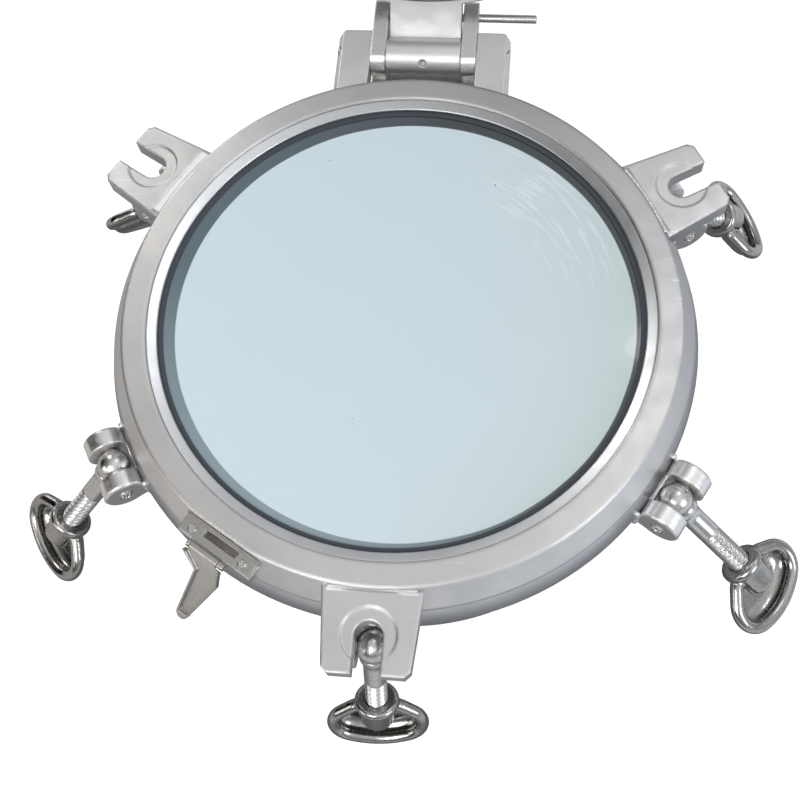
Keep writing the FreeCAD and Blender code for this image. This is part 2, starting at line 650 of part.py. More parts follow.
def make_frame_ear(label, side):
    """One hinge ear of the frame: a lobe round the hinge pin, a tail for the stay pin, a leg."""
    body = new_body(label)
    inner = s.barrel_half + s.side_gap
    start = inner if side > 0 else -(inner + s.frame_ear_thickness)
    width = s.frame_ear_thickness
    big = s.frame_ear_radius
    small = s.stay_ear_radius
    lobe = draw_circle(new_sketch(body, "YZ_Plane", start), s.hinge_radius, hinge_height, big)
    pad(body, lobe, width)
    tail = draw_circle(new_sketch(body, "YZ_Plane", start), stay_place, stay_height, small)
    pad(body, tail, width)
    lean = (big - small) / s.stay_distance
    rise = root(1 - lean * lean)
    bridge = draw_polygon(new_sketch(body, "YZ_Plane", start), [
        (s.hinge_radius + big * lean, hinge_height - big * rise),
        (stay_place + small * lean, stay_height - small * rise),
        (stay_place + small * lean, stay_height + small * rise),
        (s.hinge_radius + big * lean, hinge_height + big * rise),
    ])
    pad(body, bridge, width)
    leg_front = rim_front - s.edge_chamfer
    leg = draw_polygon(new_sketch(body, "YZ_Plane", start), [
        (s.sleeve_bore_radius, leg_front), (s.hinge_radius - s.leg_half, leg_front),
        (s.hinge_radius, hinge_height), (s.hinge_radius + big, hinge_height),
        (s.hinge_radius + s.leg_half, s.sleeve_length + s.edge_chamfer * 2),
        (s.hinge_radius - s.leg_half, s.sleeve_length), (s.sleeve_bore_radius, s.sleeve_length),
    ])
    pad(body, leg, width)
    top = hinge_height + s.frame_ear_rise
    flat = draw_polygon(new_sketch(body, "YZ_Plane", start), [
        (s.sleeve_bore_radius, top), (stay_place + big, top), (stay_place + big, top + big),
        (s.sleeve_bore_radius, top + big),
    ])
    pocket(body, flat, width, reverse=True)
    cut_rim_seat(body)
    for place, height, radius in ((s.hinge_radius, hinge_height, s.hinge_pin_radius),
                                  (stay_place, stay_height, s.stay_pin_radius)):
        hole = draw_circle(new_sketch(body, "YZ_Plane", start), place, height,
                           radius + s.pin_running_gap)
        pocket(body, hole, width, reverse=True)


def make_hinge_web():
    """Web plate between the frame's ears, under the deadlight's barrel."""
    body = new_body("hinge_web")
    half = s.barrel_half + s.side_gap - s.weld_gap
    reach = s.hinge_radius + s.hinge_web_reach
    plan = draw_polygon(new_sketch(body, "XY_Plane", s.sleeve_length), [
        (-half, s.sleeve_bore_radius), (half, s.sleeve_bore_radius), (half, reach),
        (-half, reach),
    ])
    pad(body, plan, s.hinge_web_thickness)
    cut_rim_seat(body)


def cut_rim_seat(body):
    """Trim a welded piece to the round side of the frame ring."""
    seat = draw_circle(new_sketch(body, "XY_Plane"), 0, 0, s.rim_flare_radius + s.weld_gap)
    pocket(body, seat, face * 2, both=True)


def make_hinge_pin():
    """Pin through the four ears and the deadlight's barrel."""
    body = new_body("hinge_pin")
    half = s.barrel_half + s.frame_ear_thickness + 2 * s.side_gap + s.holder_ear_width
    add_rod(body, -half, half, s.hinge_pin_radius, s.hinge_pin_chamfer)
    body.Placement = Placement(Vector(0, s.hinge_radius.value, hinge_height.value), Rotation())


def make_stay_pin():
    """Loose pin through the tails of the frame's ears; the open deadlight leans on it."""
    body = new_body("stay_pin")
    outside = s.barrel_half + s.side_gap + s.frame_ear_thickness
    add_rod(body, s.stay_pin_chamfer - outside, outside + s.stay_pin_out,
            s.stay_pin_radius, s.stay_pin_chamfer)
    body.Placement = Placement(Vector(0, stay_place.value, stay_height.value), Rotation())


def add_rod(body, start, end, radius, chamfer):
    """A rod along the body's x axis, with its ends chamfered."""
    outline = draw_polygon(new_sketch(body, "XY_Plane"), [
        (start, 0), (start, radius - chamfer), (start + chamfer, radius),
        (end - chamfer, radius), (end, radius - chamfer), (end, 0),
    ])
    turned(body, outline, "X_Axis")


def make_deadlight_cover():
    """Dished cast cover with its hinge barrel, arm and two slotted lugs, drawn closed."""
    body = new_body("deadlight_cover")
    back = deadlight_back
    foot = s.dish_foot_radius
    dish_inner = foot - s.dish_slope
    dish_back = back + s.deadlight_dish
    edge_front = back + s.deadlight_flange - s.deadlight_edge
    outline = [
        (0, dish_back), (dish_inner, dish_back), (foot, back), (s.deadlight_radius, back),
        (s.deadlight_radius, edge_front),
        (s.deadlight_radius - 2 * s.deadlight_edge, edge_front + s.deadlight_edge),
        (dish_inner + s.deadlight_plate, dish_back + s.deadlight_plate / 2),
        (dish_inner, dish_back + s.deadlight_plate), (0, dish_back + s.deadlight_plate),
    ]
    turned(body, draw_polygon(new_sketch(body, "XZ_Plane"), outline))
    barrel = draw_circle(new_sketch(body, "YZ_Plane"), s.hinge_radius, hinge_height,
                         s.barrel_radius)
    pad(body, barrel, 2 * s.barrel_half, both=True)
    add_deadlight_arm(body)
    for place in (s.left_lower_place, s.right_lower_place):
        add_slotted_lug(body, back, place, s.deadlight_radius - s.deadlight_edge,
                        s.edge_chamfer)
    groove = draw_polygon(new_sketch(body, "XZ_Plane"), [
        (s.deadlight_groove_radius, back - s.deadlight_groove_depth),
        (s.deadlight_groove_radius + s.deadlight_groove_width, back - s.deadlight_groove_depth),
        (s.deadlight_groove_radius + s.deadlight_groove_width, back + s.deadlight_groove_depth),
        (s.deadlight_groove_radius, back + s.deadlight_groove_depth),
    ])
    turned(body, groove, cut=True)
    bore = draw_circle(new_sketch(body, "YZ_Plane"), s.hinge_radius, hinge_height,
                       s.hinge_pin_radius + s.pin_running_gap)
    pocket(body, bore, 3 * s.barrel_half, both=True)
    tapping = new_sketch(body, "XY_Plane", hinge_height, s.grub_angle, Vector(1, 0, 0),
                         (0, s.hinge_radius))
    pocket(body, draw_circle(tapping, 0, 0, s.grub_radius), s.barrel_radius * 2, reverse=True)
    body.Placement = open_deadlight()


def arm_front():
    """Height of the closed arm's outer face, so that the open arm rests on the stay pin."""
    rise = 180 - s.open_angle
    gap = s.stay_distance * sine(rise) - s.stay_rise * cosine(rise)
    return hinge_height + gap - s.stay_pin_radius - s.soft_gap


def add_deadlight_arm(body):
    """Arm from the hinge barrel onto the disc, wider where it meets the disc."""
    back = deadlight_back
    front = arm_front()
    barrel_inner = s.hinge_radius - s.barrel_radius
    barrel_outer = s.hinge_radius + s.barrel_radius
    corner = s.arm_corner
    flare_start = s.hinge_radius - s.arm_flare_place
    flare_end = s.hinge_radius - s.arm_flare_end
    side = draw_polygon(new_sketch(body, "YZ_Plane"), [
        (barrel_inner, hinge_height), (barrel_inner, back), (s.dish_foot_radius + corner, back),
        (s.dish_foot_radius - corner, front), (s.hinge_radius - corner, front),
        (s.hinge_radius + 2 * corner, front - corner), (barrel_outer, front - s.barrel_radius),
        (barrel_outer, hinge_height),
    ])
    pad(body, side, 2 * s.arm_half, both=True)
    flare = draw_polygon(new_sketch(body, "XY_Plane", back), [
        (-s.arm_half, flare_start), (-s.arm_flare_half, flare_end + corner),
        (-s.arm_flare_half, flare_end), (s.arm_flare_half, flare_end),
        (s.arm_flare_half, flare_end + corner), (s.arm_half, flare_start),
    ])
    pad(body, flare, front - back)
    hollow = draw_polygon(new_sketch(body, "XZ_Plane"), [
        (0, back - s.deadlight_dish), (s.dish_foot_radius, back - s.deadlight_dish),
        (s.dish_foot_radius, back), (s.dish_foot_radius - s.dish_slope, back + s.deadlight_dish),
        (0, back + s.deadlight_dish),
    ])
    turned(body, hollow, cut=True)


def make_deadlight_seal():
    """Rubber seal in the deadlight's groove; its lip faces the glass holder."""
    inner = s.deadlight_groove_radius + s.seal_side_gap
    outer = s.deadlight_groove_radius + s.deadlight_groove_width - s.seal_side_gap
    root_height = deadlight_back + s.deadlight_groove_depth
    lip = face + s.soft_gap
    cut = s.seal_round
    body = new_ring("deadlight_seal", [
        (inner, root_height), (outer, root_height), (outer, lip + cut), (outer - cut, lip),
        (inner + cut, lip), (inner, lip + cut),
    ])
    body.Placement = open_deadlight()


def make_grub_screw():
    """Socket grub screw in the barrel, which keeps the hinge pin in place."""
    screw = document.addObject("Part::Cylinder", "GrubThread")
    set_size(screw, "Radius", s.grub_radius - s.pin_running_gap)
    set_size(screw, "Height", s.barrel_radius - s.hinge_pin_radius - s.deadlight_lift)
    socket = document.addObject("Part::Prism", "GrubSocket")
    socket.Polygon = 6
    set_size(socket, "Circumradius", s.grub_socket / cosine(s.grub_corner))
    set_size(socket, "Height", s.barrel_radius)
    set_size(socket, "Placement.Base.z", s.grub_floor)
    grub = document.addObject("Part::Cut", "grub_screw")
    grub.Base = screw
    grub.Tool = socket
    grub.Label = "grub_screw"
    pieces["grub_screw"] = grub
    hinge = Vector(0, s.hinge_radius.value, hinge_height.value)
    aim = Rotation(Vector(1, 0, 0), s.grub_angle.value)
    start = aim.multVec(Vector(0, 0, s.hinge_pin_radius.value + s.pin_running_gap.value))
    closed = Placement(hinge + start, aim)
    grub.Placement = open_deadlight().multiply(closed)


def break_side_edges(body, half):
    """Chamfer every edge that lies on a piece's two outer side faces."""
    document.recompute()
    last = body.Tip
    names = []
    for number, edge in enumerate(last.Shape.Edges, start=1):
        box = edge.BoundBox
        if box.YLength < NEAR and abs(abs(box.YMin) - half.value) < NEAR:
            names.append("Edge%d" % number)
    chamfer = body.newObject("PartDesign::Chamfer", "Chamfer")
    chamfer.Base = (last, names)
    set_size(chamfer, "Size", s.clevis_chamfer)


def make_clevis(dog, place):
    """Welded clevis of one dog: two rounded ears on a web that follows the frame ring."""
    body = new_body("clevis_" + dog)
    width = s.clevis_gap + 2 * s.clevis_ear
    radius = s.clevis_radius
    lobe = draw_circle(new_sketch(body, "XZ_Plane"), s.dog_radius, dog_height, radius)
    pad(body, lobe, width, both=True)
    root_place = s.rim_top_radius - s.edge_chamfer
    foot = draw_polygon(new_sketch(body, "XZ_Plane"), [
        (root_place, dog_height - radius + s.clevis_foot), (s.dog_radius, dog_height - radius),
        (s.dog_radius, dog_height + s.clevis_shoulder),
        (root_place, dog_height + s.clevis_shoulder),
    ])
    pad(body, foot, width, both=True)
    break_side_edges(body, width / 2)
    web = s.rim_flare_radius + s.weld_gap + s.clevis_web
    opening = draw_polygon(new_sketch(body, "XZ_Plane"), [
        (web, dog_height - 2 * radius), (s.dog_radius + 2 * radius, dog_height - 2 * radius),
        (s.dog_radius + 2 * radius, dog_height + 2 * radius),
        (root_place, dog_height + 2 * radius), (root_place, dog_height - s.clevis_web_drop),
        (web, dog_height - s.clevis_web_drop),
    ])
    pocket(body, opening, s.clevis_gap, both=True)
    relief = draw_circle(new_sketch(body, "XZ_Plane"), s.dog_radius, dog_height,
                         s.eye_radius + s.eye_relief)
    pocket(body, relief, s.clevis_gap, both=True)
    hole = draw_circle(new_sketch(body, "XZ_Plane"), s.dog_radius, dog_height, pin_hole)
    pocket(body, hole, 2 * width, both=True)
    cut_rim_seat(body)
    body.Placement = turn_of(place)


def make_clevis_pin(dog, place):
    """Pivot pin of one dog, riveted over at both ends."""
    body = new_body("clevis_pin_" + dog)
    half = s.clevis_gap / 2 + s.clevis_ear
    radius = s.pivot_pin_radius
    dome = s.pin_dome
    outline = draw_polygon(new_sketch(body, "XY_Plane"), [
        (0, -(half + dome)), (radius / 2, -(half + dome)), (radius, -(half + dome / 2)),
        (radius, half + dome / 2), (radius / 2, half + dome), (0, half + dome),
    ])
    turned(body, outline, "Y_Axis")
    body.Placement = turn_of(place, s.dog_radius, 0, dog_height)


def dog_placement(place, droop, run=0, turn=0):
    """Placement of a piece on one dog: x along the bolt, y along the pivot pin."""
    aim = Rotation(Vector(0, 0, 1), place.value).multiply(
        Rotation(Vector(0, 1, 0), droop.value)).multiply(
        Rotation(Vector(1, 0, 0), term(turn).value))
    pivot = turn_of(place, s.dog_radius, 0, dog_height).Base
    return Placement(pivot + aim.multVec(Vector(term(run).value, 0, 0)), aim)


def make_swing_bolt(dog, place, droop, length):
    """Swing bolt: a ball-shaped eye with two flats on a round shank."""
    body = new_body("swing_bolt_" + dog)
    sketch = new_sketch(body, "XY_Plane")
    half = s.eye_width / 2
    reach = math.sqrt(s.eye_radius.value ** 2 - half.value ** 2)
    low = Vector(reach, -half.value, 0)
    high = Vector(reach, half.value, 0)
    hole_low = Vector(pin_hole.value, -half.value, 0)
    hole_high = Vector(pin_hole.value, half.value, 0)
    swing = math.atan2(half.value, reach)
    circle = Part.Circle(Vector(), Vector(0, 0, 1), s.eye_radius.value)
    sketch.addGeometry(Part.LineSegment(hole_low, low))
    sketch.addGeometry(Part.ArcOfCircle(circle, -swing, swing))
    sketch.addGeometry(Part.LineSegment(high, hole_high))
    sketch.addGeometry(Part.LineSegment(hole_high, hole_low))
    for edge in range(4):
        sketch.addConstraint(Sketcher.Constraint("Coincident", edge, 2, (edge + 1) % 4, 1))
    sketch.addConstraint(Sketcher.Constraint("Coincident", 1, 3, -1, 1))
    number = sketch.addConstraint(Sketcher.Constraint("Radius", 1, s.eye_radius.value))
    sketch.renameConstraint(number, "Eye")
    set_size(sketch, "Constraints.Eye", s.eye_radius)
    pin_point(sketch, 0, 1, pin_hole, -half)
    pin_point(sketch, 3, 1, pin_hole, half)
    sketch.addConstraint(Sketcher.Constraint("Horizontal", 0))
    sketch.addConstraint(Sketcher.Constraint("Horizontal", 2))
    turned(body, sketch, "Y_Axis")
    chamfer = s.shank_chamfer
    start = pin_hole + chamfer
    radius = s.shank_radius
    shank = draw_polygon(new_sketch(body, "XY_Plane"), [
        (start, 0), (start, radius), (length - chamfer, radius), (length, radius - chamfer),
        (length, 0),
    ])
    turned(body, shank, "X_Axis")
    body.Placement = dog_placement(place, droop)


def rim_centre_line():
    """Corners and bends of the wing's rim, worked out from its width, length and bends."""
    tube = s.wing_tube.value
    end = s.wing_length.value - tube
    half = s.wing_half_width.value - tube
    low = s.wing_root_place.value
    small = s.wing_root_bend.value
    corner = s.wing_corner_bend.value
    bow = s.wing_end_bend.value
    bow_centre = Vector(end - bow, 0, 0)
    corner_y = half - corner
    reach = bow - corner
    corner_centre = Vector(bow_centre.x + math.sqrt(reach ** 2 - corner_y ** 2), corner_y, 0)
    root_centre = Vector(low + small, s.wing_root_half.value, 0)
    across = corner_centre - root_centre
    lean = math.asin((corner - small) / across.Length)
    heading = math.atan2(across.y, across.x) + lean
    normal = Vector(-math.sin(heading), math.cos(heading), 0)
    to_bow = (corner_centre - bow_centre).normalize()
    return root_centre, small, corner_centre, corner, bow_centre, bow, normal, to_bow


def wing_rim_wire():
    """Closed centre line of the wing's rim as tangent lines and arcs in the nut's own frame."""
    root_centre, small, corner_centre, corner, bow_centre, bow, normal, to_bow = rim_centre_line()
    root_start = root_centre + Vector(-small, 0, 0)
    root_end = root_centre + normal * small
    corner_start = corner_centre + normal * corner
    corner_end = corner_centre + to_bow * corner
    root_middle = root_centre + (Vector(-1, 0, 0) + normal).normalize() * small
    corner_middle = corner_centre + (normal + to_bow).normalize() * corner
    bow_middle = bow_centre + Vector(bow, 0, 0)

    def across(point):
        return Vector(point.x, -point.y, 0)

    edges = [
        Part.LineSegment(across(root_start), root_start),
        Part.Arc(root_start, root_middle, root_end),
        Part.LineSegment(root_end, corner_start),
        Part.Arc(corner_start, corner_middle, corner_end),
        Part.Arc(corner_end, bow_middle, across(corner_end)),
        Part.Arc(across(corner_end), across(corner_middle), across(corner_start)),
        Part.LineSegment(across(corner_start), across(root_end)),
        Part.Arc(across(root_end), across(root_middle), across(root_start)),
    ]
    return Part.Wire([edge.toShape() for edge in edges])


def hand_nut_shape():
    """Hand nut: collar, tapered hub, looped wing with a web, and a trough for the bolt's end."""
    bore = s.shank_radius.value + s.nut_running_gap.value
    hub = s.hub_length.value
    collar = s.collar_length.value
    chamfer = s.edge_chamfer.value / 2
    trough_end = hub + s.trough_length.value
    trough = bore + s.trough_wall.value
    body = [
        (0, 0), (0, s.collar_radius.value - chamfer), (chamfer, s.collar_radius.value),
        (collar - chamfer, s.collar_radius.value), (collar, s.collar_radius.value - chamfer),
        (collar + chamfer, s.hub_radius.value), (hub, s.hub_end_radius.value), (hub, trough),
        (trough_end - chamfer, trough), (trough_end, trough - chamfer), (trough_end, 0),
    ]
    solid = turned_solid(body)
    wire = wing_rim_wire()
    start = wire.Edges[0].Vertexes[0].Point
    ring = Part.Circle(start, Vector(0, 1, 0), s.wing_tube.value)
    rim = wire.makePipeShell([Part.Wire([ring.toShape()])], True, False)
    web_back = -s.web_thickness.value / 2
    web = Part.Face(wire).extrude(Vector(0, 0, s.web_thickness.value))
    web.translate(Vector(0, 0, web_back))
    solid = solid.fuse([rim, web])
    past = trough_end - s.trough_wall.value
    mouth = bore + chamfer
    hole = turned_solid([(0, 0), (0, mouth), (chamfer, bore), (past, bore), (past, 0)])
    front = Part.makeBox(trough_end - hub + chamfer, 2 * trough, 2 * trough,
                         Vector(hub, -trough, -web_back))
    return solid.cut([hole, front]).removeSplitter()


def turned_solid(points):
    """A solid turned about the x axis from corners (place, radius)."""
    corners = [Vector(x, y, 0) for x, y in points]
    outline = Part.makePolygon(corners + corners[:1])
    return Part.Face(outline).revolve(Vector(), Vector(1, 0, 0), 360)


def make_hand_nut(dog, place, droop, run, turn, shape):
    """Hand nut of one dog, at its own place on the bolt."""
    nut = document.addObject("Part::Feature", "hand_nut_" + dog)
    nut.Label = "hand_nut_" + dog
    nut.Shape = shape.copy()
    nut.Placement = dog_placement(place, droop, run, turn)
    pieces[nut.Label] = nut


def make_dogs():
    """The five dogs: clevis, pivot pin, swing bolt and hand nut."""
    shape = hand_nut_shape()
    lengths = {"holder": s.holder_bolt_length, "deadlight": s.deadlight_bolt_length}
    for name, _, _, _, _, cover in DOGS:
        place, droop, run, turn = (
            sizes["%s_%s" % (name, word)] for word in ("place", "droop", "run", "turn"))
        make_clevis(name, place)
        make_clevis_pin(name, place)
        make_swing_bolt(name, place, droop, lengths[cover])
        make_hand_nut(name, place, droop, run, turn, shape)


def latch_stretch(body, height, half_height, left, right):
    """Sketch on the latch's side plane that spans a stretch of the barrel, for a pocket or pad."""
    outline = [
        (s.latch_axis_radius - half_height, -left), (s.latch_axis_radius + half_height, -left),
        (s.latch_axis_radius + half_height, right), (s.latch_axis_radius - half_height, right),
    ]
    return draw_polygon(new_sketch(body, "XY_Plane", height), outline)


def make_latch_plate():
    """Latch plate with a window and two rolled knuckles, screwed to the holder's ledge."""
    body = new_body("latch_plate")
    back = face - s.latch_plate_drop
    half = s.latch_half
    left = s.latch_barrel_left
    right = s.latch_barrel_right
    end = s.latch_axis_radius - s.latch_barrel_radius / 2
    plate = draw_polygon(new_sketch(body, "XY_Plane", back), [
        (s.latch_inner_radius, -half), (end - s.latch_barrel_radius, -half),
        (end - s.latch_barrel_radius, -left), (end, -left),
        (end, right), (end - s.latch_barrel_radius, right),
        (end - s.latch_barrel_radius, half), (s.latch_inner_radius, half),
    ])
    pad(body, plate, s.latch_plate_thickness)
    barrel = draw_circle(new_sketch(body, "XZ_Plane", -right), s.latch_axis_radius,
                         latch_height, s.latch_barrel_radius)
    pad(body, barrel, left + right)
    room = s.latch_barrel_radius + s.side_gap
    gap = latch_stretch(body, latch_height + room, room, s.latch_knuckle_left + s.side_gap,
                        s.latch_knuckle_right + s.side_gap)
    pocket(body, gap, 2 * room)
    hole = draw_circle(new_sketch(body, "XZ_Plane"), s.latch_axis_radius, latch_height,
                       s.latch_pin_radius + s.pin_running_gap)
    pocket(body, hole, 4 * left, both=True)
    window = s.latch_inner_radius + s.latch_window_inset
    opening = draw_polygon(new_sketch(body, "XY_Plane", back + s.latch_plate_thickness), [
        (window, -s.latch_window_left), (window + s.latch_window_width, -s.latch_window_left),
        (window + s.latch_window_width, s.latch_window_right), (window, s.latch_window_right),
    ])
    pocket(body, opening, s.latch_plate_thickness)
    for side in (-1, 1):
        screw = draw_circle(new_sketch(body, "XY_Plane", back + s.latch_plate_thickness),
                            s.latch_screw_radius, side * s.latch_screw_place,
                            s.latch_screw_shank)
        pocket(body, screw, s.latch_plate_thickness * 2)
    body.Placement = turn_of(s.latch_angle)


def make_latch_pin():
    """Pin of the latch's barrel."""
    body = new_body("latch_pin")
    left = -s.latch_barrel_left
    right = s.latch_barrel_right
    outline = draw_polygon(new_sketch(body, "XY_Plane"), [
        (0, left), (s.latch_pin_radius, left), (s.latch_pin_radius, right), (0, right),
    ])
    turned(body, outline, "Y_Axis")
    body.Placement = turn_of(s.latch_angle, s.latch_axis_radius, 0, latch_height)


def lever_outline(inset, start):
    """Plan of the latch lever: wide at the barrel, notched on the left, long taper to the tip."""
    tip = s.lever_length - s.lever_tip_radius
    right = s.latch_barrel_right - inset
    return [
        (start, inset - s.latch_barrel_left), (s.lever_notch, inset - s.lever_notch_left),
        (tip, inset - s.lever_tip_radius - s.lever_tip_shift),
        (tip, s.lever_tip_radius - s.lever_tip_shift - inset),
        (s.lever_neck, s.lever_shoulder_right - inset), (s.lever_shoulder, right),
        (start, right),
    ]


def make_latch_lever():
    """Pressed latch lever with turned-up edges, hung on the latch pin."""
    body = new_body("latch_lever")
    start = s.latch_barrel_radius + s.side_gap * 2
    low = s.latch_barrel_radius - s.lever_sheet
    tip = s.lever_length - s.lever_tip_radius
    pad(body, draw_polygon(new_sketch(body, "XY_Plane", low), lever_outline(0, start)),
        s.lever_flange)
    end = draw_circle(new_sketch(body, "XY_Plane", low), tip, -s.lever_tip_shift,
                      s.lever_tip_radius)
    pad(body, end, s.lever_flange)
    tray = draw_polygon(new_sketch(body, "XY_Plane", low + s.lever_flange),
                        lever_outline(s.lever_sheet, start - s.lever_sheet))
    pocket(body, tray, s.lever_flange - s.lever_sheet)
    right = s.latch_knuckle_right
    whole = s.latch_knuckle_left + right
    knuckle = draw_circle(new_sketch(body, "XZ_Plane", -right), 0, 0, s.latch_barrel_radius)
    pad(body, knuckle, whole)
    bridge = draw_polygon(new_sketch(body, "XZ_Plane", -right), [
        (0, low), (start + s.lever_sheet, low), (start + s.lever_sheet, s.latch_barrel_radius),
        (0, s.latch_barrel_radius),
    ])
    pad(body, bridge, whole)
    hole = draw_circle(new_sketch(body, "XZ_Plane"), 0, 0,
                       s.latch_pin_radius + s.pin_running_gap)
    pocket(body, hole, 4 * s.latch_barrel_left, both=True)
    hang = Placement(Vector(), Rotation(Vector(0, 1, 0), s.lever_hang.value))
    body.Placement = turn_of(s.latch_angle, s.latch_axis_radius, 0, latch_height).multiply(hang)


def make_latch_screws():
    """Two cross-head screws that hold the latch plate."""
    screws = []
    top = face - s.latch_plate_drop + s.latch_plate_thickness
    for side in (-1, 1):
        across = side * s.latch_screw_place
        shank = document.addObject("Part::Cylinder", "ScrewShank")
        set_size(shank, "Radius", s.latch_screw_shank - s.pin_running_gap)
        set_size(shank, "Height", s.latch_screw_length)
        head = document.addObject("Part::Cone", "ScrewHead")
        set_size(head, "Radius1", s.latch_screw_head)
        set_size(head, "Radius2", s.latch_screw_top)
        set_size(head, "Height", s.latch_screw_rise)
        slot = document.addObject("Part::Box", "ScrewSlot")
        set_size(slot, "Length", s.latch_screw_top * 2)
        set_size(slot, "Width", s.latch_screw_slot)
        cross = document.addObject("Part::Box", "ScrewCross")
        set_size(cross, "Length", s.latch_screw_slot)
        set_size(cross, "Width", s.latch_screw_top * 2)
        for item, height in ((shank, top - s.latch_screw_length), (head, top)):
            set_size(item, "Placement.Base.x", s.latch_screw_radius)
            set_size(item, "Placement.Base.y", across)
            set_size(item, "Placement.Base.z", height)
        for item, long_x, long_y in ((slot, s.latch_screw_top, s.latch_screw_slot / 2),
                                     (cross, s.latch_screw_slot / 2, s.latch_screw_top)):
            set_size(item, "Height", s.latch_screw_rise)
            set_size(item, "Placement.Base.x", s.latch_screw_radius - long_x)
            set_size(item, "Placement.Base.y", across - long_y)
            set_size(item, "Placement.Base.z", top + s.latch_screw_rise / 2)
        whole = document.addObject("Part::Fuse", "ScrewBlank")
        whole.Base = head
        whole.Tool = shank
        recess = document.addObject("Part::Fuse", "ScrewRecess")
        recess.Base = slot
        recess.Tool = cross
        screw = document.addObject("Part::Cut", "Screw")
        screw.Base = whole
        screw.Tool = recess
        screws.append(screw)
    group = document.addObject("Part::Compound", "latch_screws")
    group.Label = "latch_screws"
    group.Links = screws
    group.Placement = turn_of(s.latch_angle)
    pieces["latch_screws"] = group


def build():
    """Make every piece."""
    make_hull_sleeve()
    make_main_frame()
    make_frame_seal()
    make_glass_holder()
    for dog, _ in LUG_WELDS:
        make_holder_lug(dog, sizes[dog + "_place"], sizes[dog + "_weld"])
    make_glazing()
    for side, word in ((-1, "left"), (1, "right")):
        make_holder_ear("holder_ear_" + word, side)
        make_frame_ear("frame_ear_" + word, side)
    make_hinge_web()
    make_hinge_pin()
    make_stay_pin()
    make_deadlight_cover()
    make_deadlight_seal()
    make_grub_screw()
    make_dogs()
    make_latch_plate()
    make_latch_screws()
    make_latch_pin()
    make_latch_lever()


def check():
    """Stop if any object failed or any piece has no sound solid."""
    for thing in document.Objects:
        if "Invalid" in thing.State or "Error" in thing.State:
            raise RuntimeError("%s (%s) failed" % (thing.Name, thing.Label))
    for label, piece in pieces.items():
        if piece.Shape.isNull() or not piece.Shape.isValid() or not piece.Shape.Solids:
            raise RuntimeError(label + " is not a sound solid")


def write():
    """Write each piece to its own file."""
    os.makedirs("parts", exist_ok=True)
    for label, piece in pieces.items():
        piece.Shape.exportStep("parts/%s.step" % label)
        print("%-28s %2d solid(s) %10.0f mm3" % (label, len(piece.Shape.Solids),
                                                 piece.Shape.Volume))


build()
document.recompute()
check()
write()
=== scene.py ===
"""Looks of the hinged side scuttle: castings, threads, welds, finishes, light and camera.

Meshes are in metres in the part's own frame: +Z is the way the glass faces, +Y points at the
hinge, and the origin is on the axis at the back end of the hull sleeve.  The sizes of the
sub-assemblies are millimetres and degrees; node trees, finishes and the studio take metres.
"""
from __future__ import annotations

import logging
import math
from dataclasses import dataclass, field
from enum import Enum
from typing import Any, Sequence, Union

import bmesh
import bpy
from mathutils import Matrix, Vector


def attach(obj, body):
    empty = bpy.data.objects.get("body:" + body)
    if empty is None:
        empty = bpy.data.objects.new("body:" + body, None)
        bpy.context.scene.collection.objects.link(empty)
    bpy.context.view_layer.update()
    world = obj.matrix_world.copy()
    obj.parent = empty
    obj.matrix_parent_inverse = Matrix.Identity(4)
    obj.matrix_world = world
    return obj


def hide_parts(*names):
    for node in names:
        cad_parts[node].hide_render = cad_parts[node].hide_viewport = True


log = logging.getLogger("side_scuttle")

MM = 0.001
Colour = tuple[float, float, float]
Point = tuple[float, float, float]


class Side(Enum):
    """Left and right; the value is the sign of a place across."""

    LEFT = -1
    RIGHT = 1


class Cover(Enum):
    """What a dog clamps, which sets how long its bolt is in millimetres."""

    HOLDER = 76.0
    DEADLIGHT = 94.0


# Node graphs


class Socket:
    """A node's output; sums and products of it add Math nodes."""

    def __init__(self, graph: Graph, end: bpy.types.NodeSocket) -> None:
        """Keep the graph and the output that stands for the value."""
        self.graph = graph
        self.end = end

    def run(self, operation: str, *others: Number) -> Socket:
        """Add one Math node.

        Args:
            operation: the Math node's operation.
            others: the values after this one.

        Returns:
            The node's output.
        """
        values = dict(enumerate((self, *others)))
        return self.graph.node("ShaderNodeMath", {"operation": operation}, values)

    def __add__(self, other: Number) -> Socket:
        """Sum."""
        return self.run("ADD", other)

    def __radd__(self, other: Number) -> Socket:
        """Sum, the other way round."""
        return self.run("ADD", other)

    def __sub__(self, other: Number) -> Socket:
        """Difference."""
        return self.run("SUBTRACT", other)

    def __rsub__(self, other: float) -> Socket:
        """A number less this value."""
        return self.run("MULTIPLY_ADD", -1.0, other)

    def __mul__(self, other: Number) -> Socket:
        """Product."""
        return self.run("MULTIPLY", other)

    def __rmul__(self, other: Number) -> Socket:
        """Product, the other way round."""
        return self.run("MULTIPLY", other)

    def __truediv__(self, other: Number) -> Socket:
        """Quotient."""
        return self.run("DIVIDE", other)

    def __pow__(self, other: Number) -> Socket:
        """Power."""
        return self.run("POWER", other)

    def clamp(self, low: float = 0.0, high: float = 1.0) -> Socket:
        """This value, held between two numbers."""
        return self.run("MAXIMUM", low).run("MINIMUM", high)

    def band(self, low: float, high: float) -> Socket:
        """0 below low, 1 above high, and even between."""
        return ((self - low) / (high - low)).clamp()


Number = Union[float, Socket]


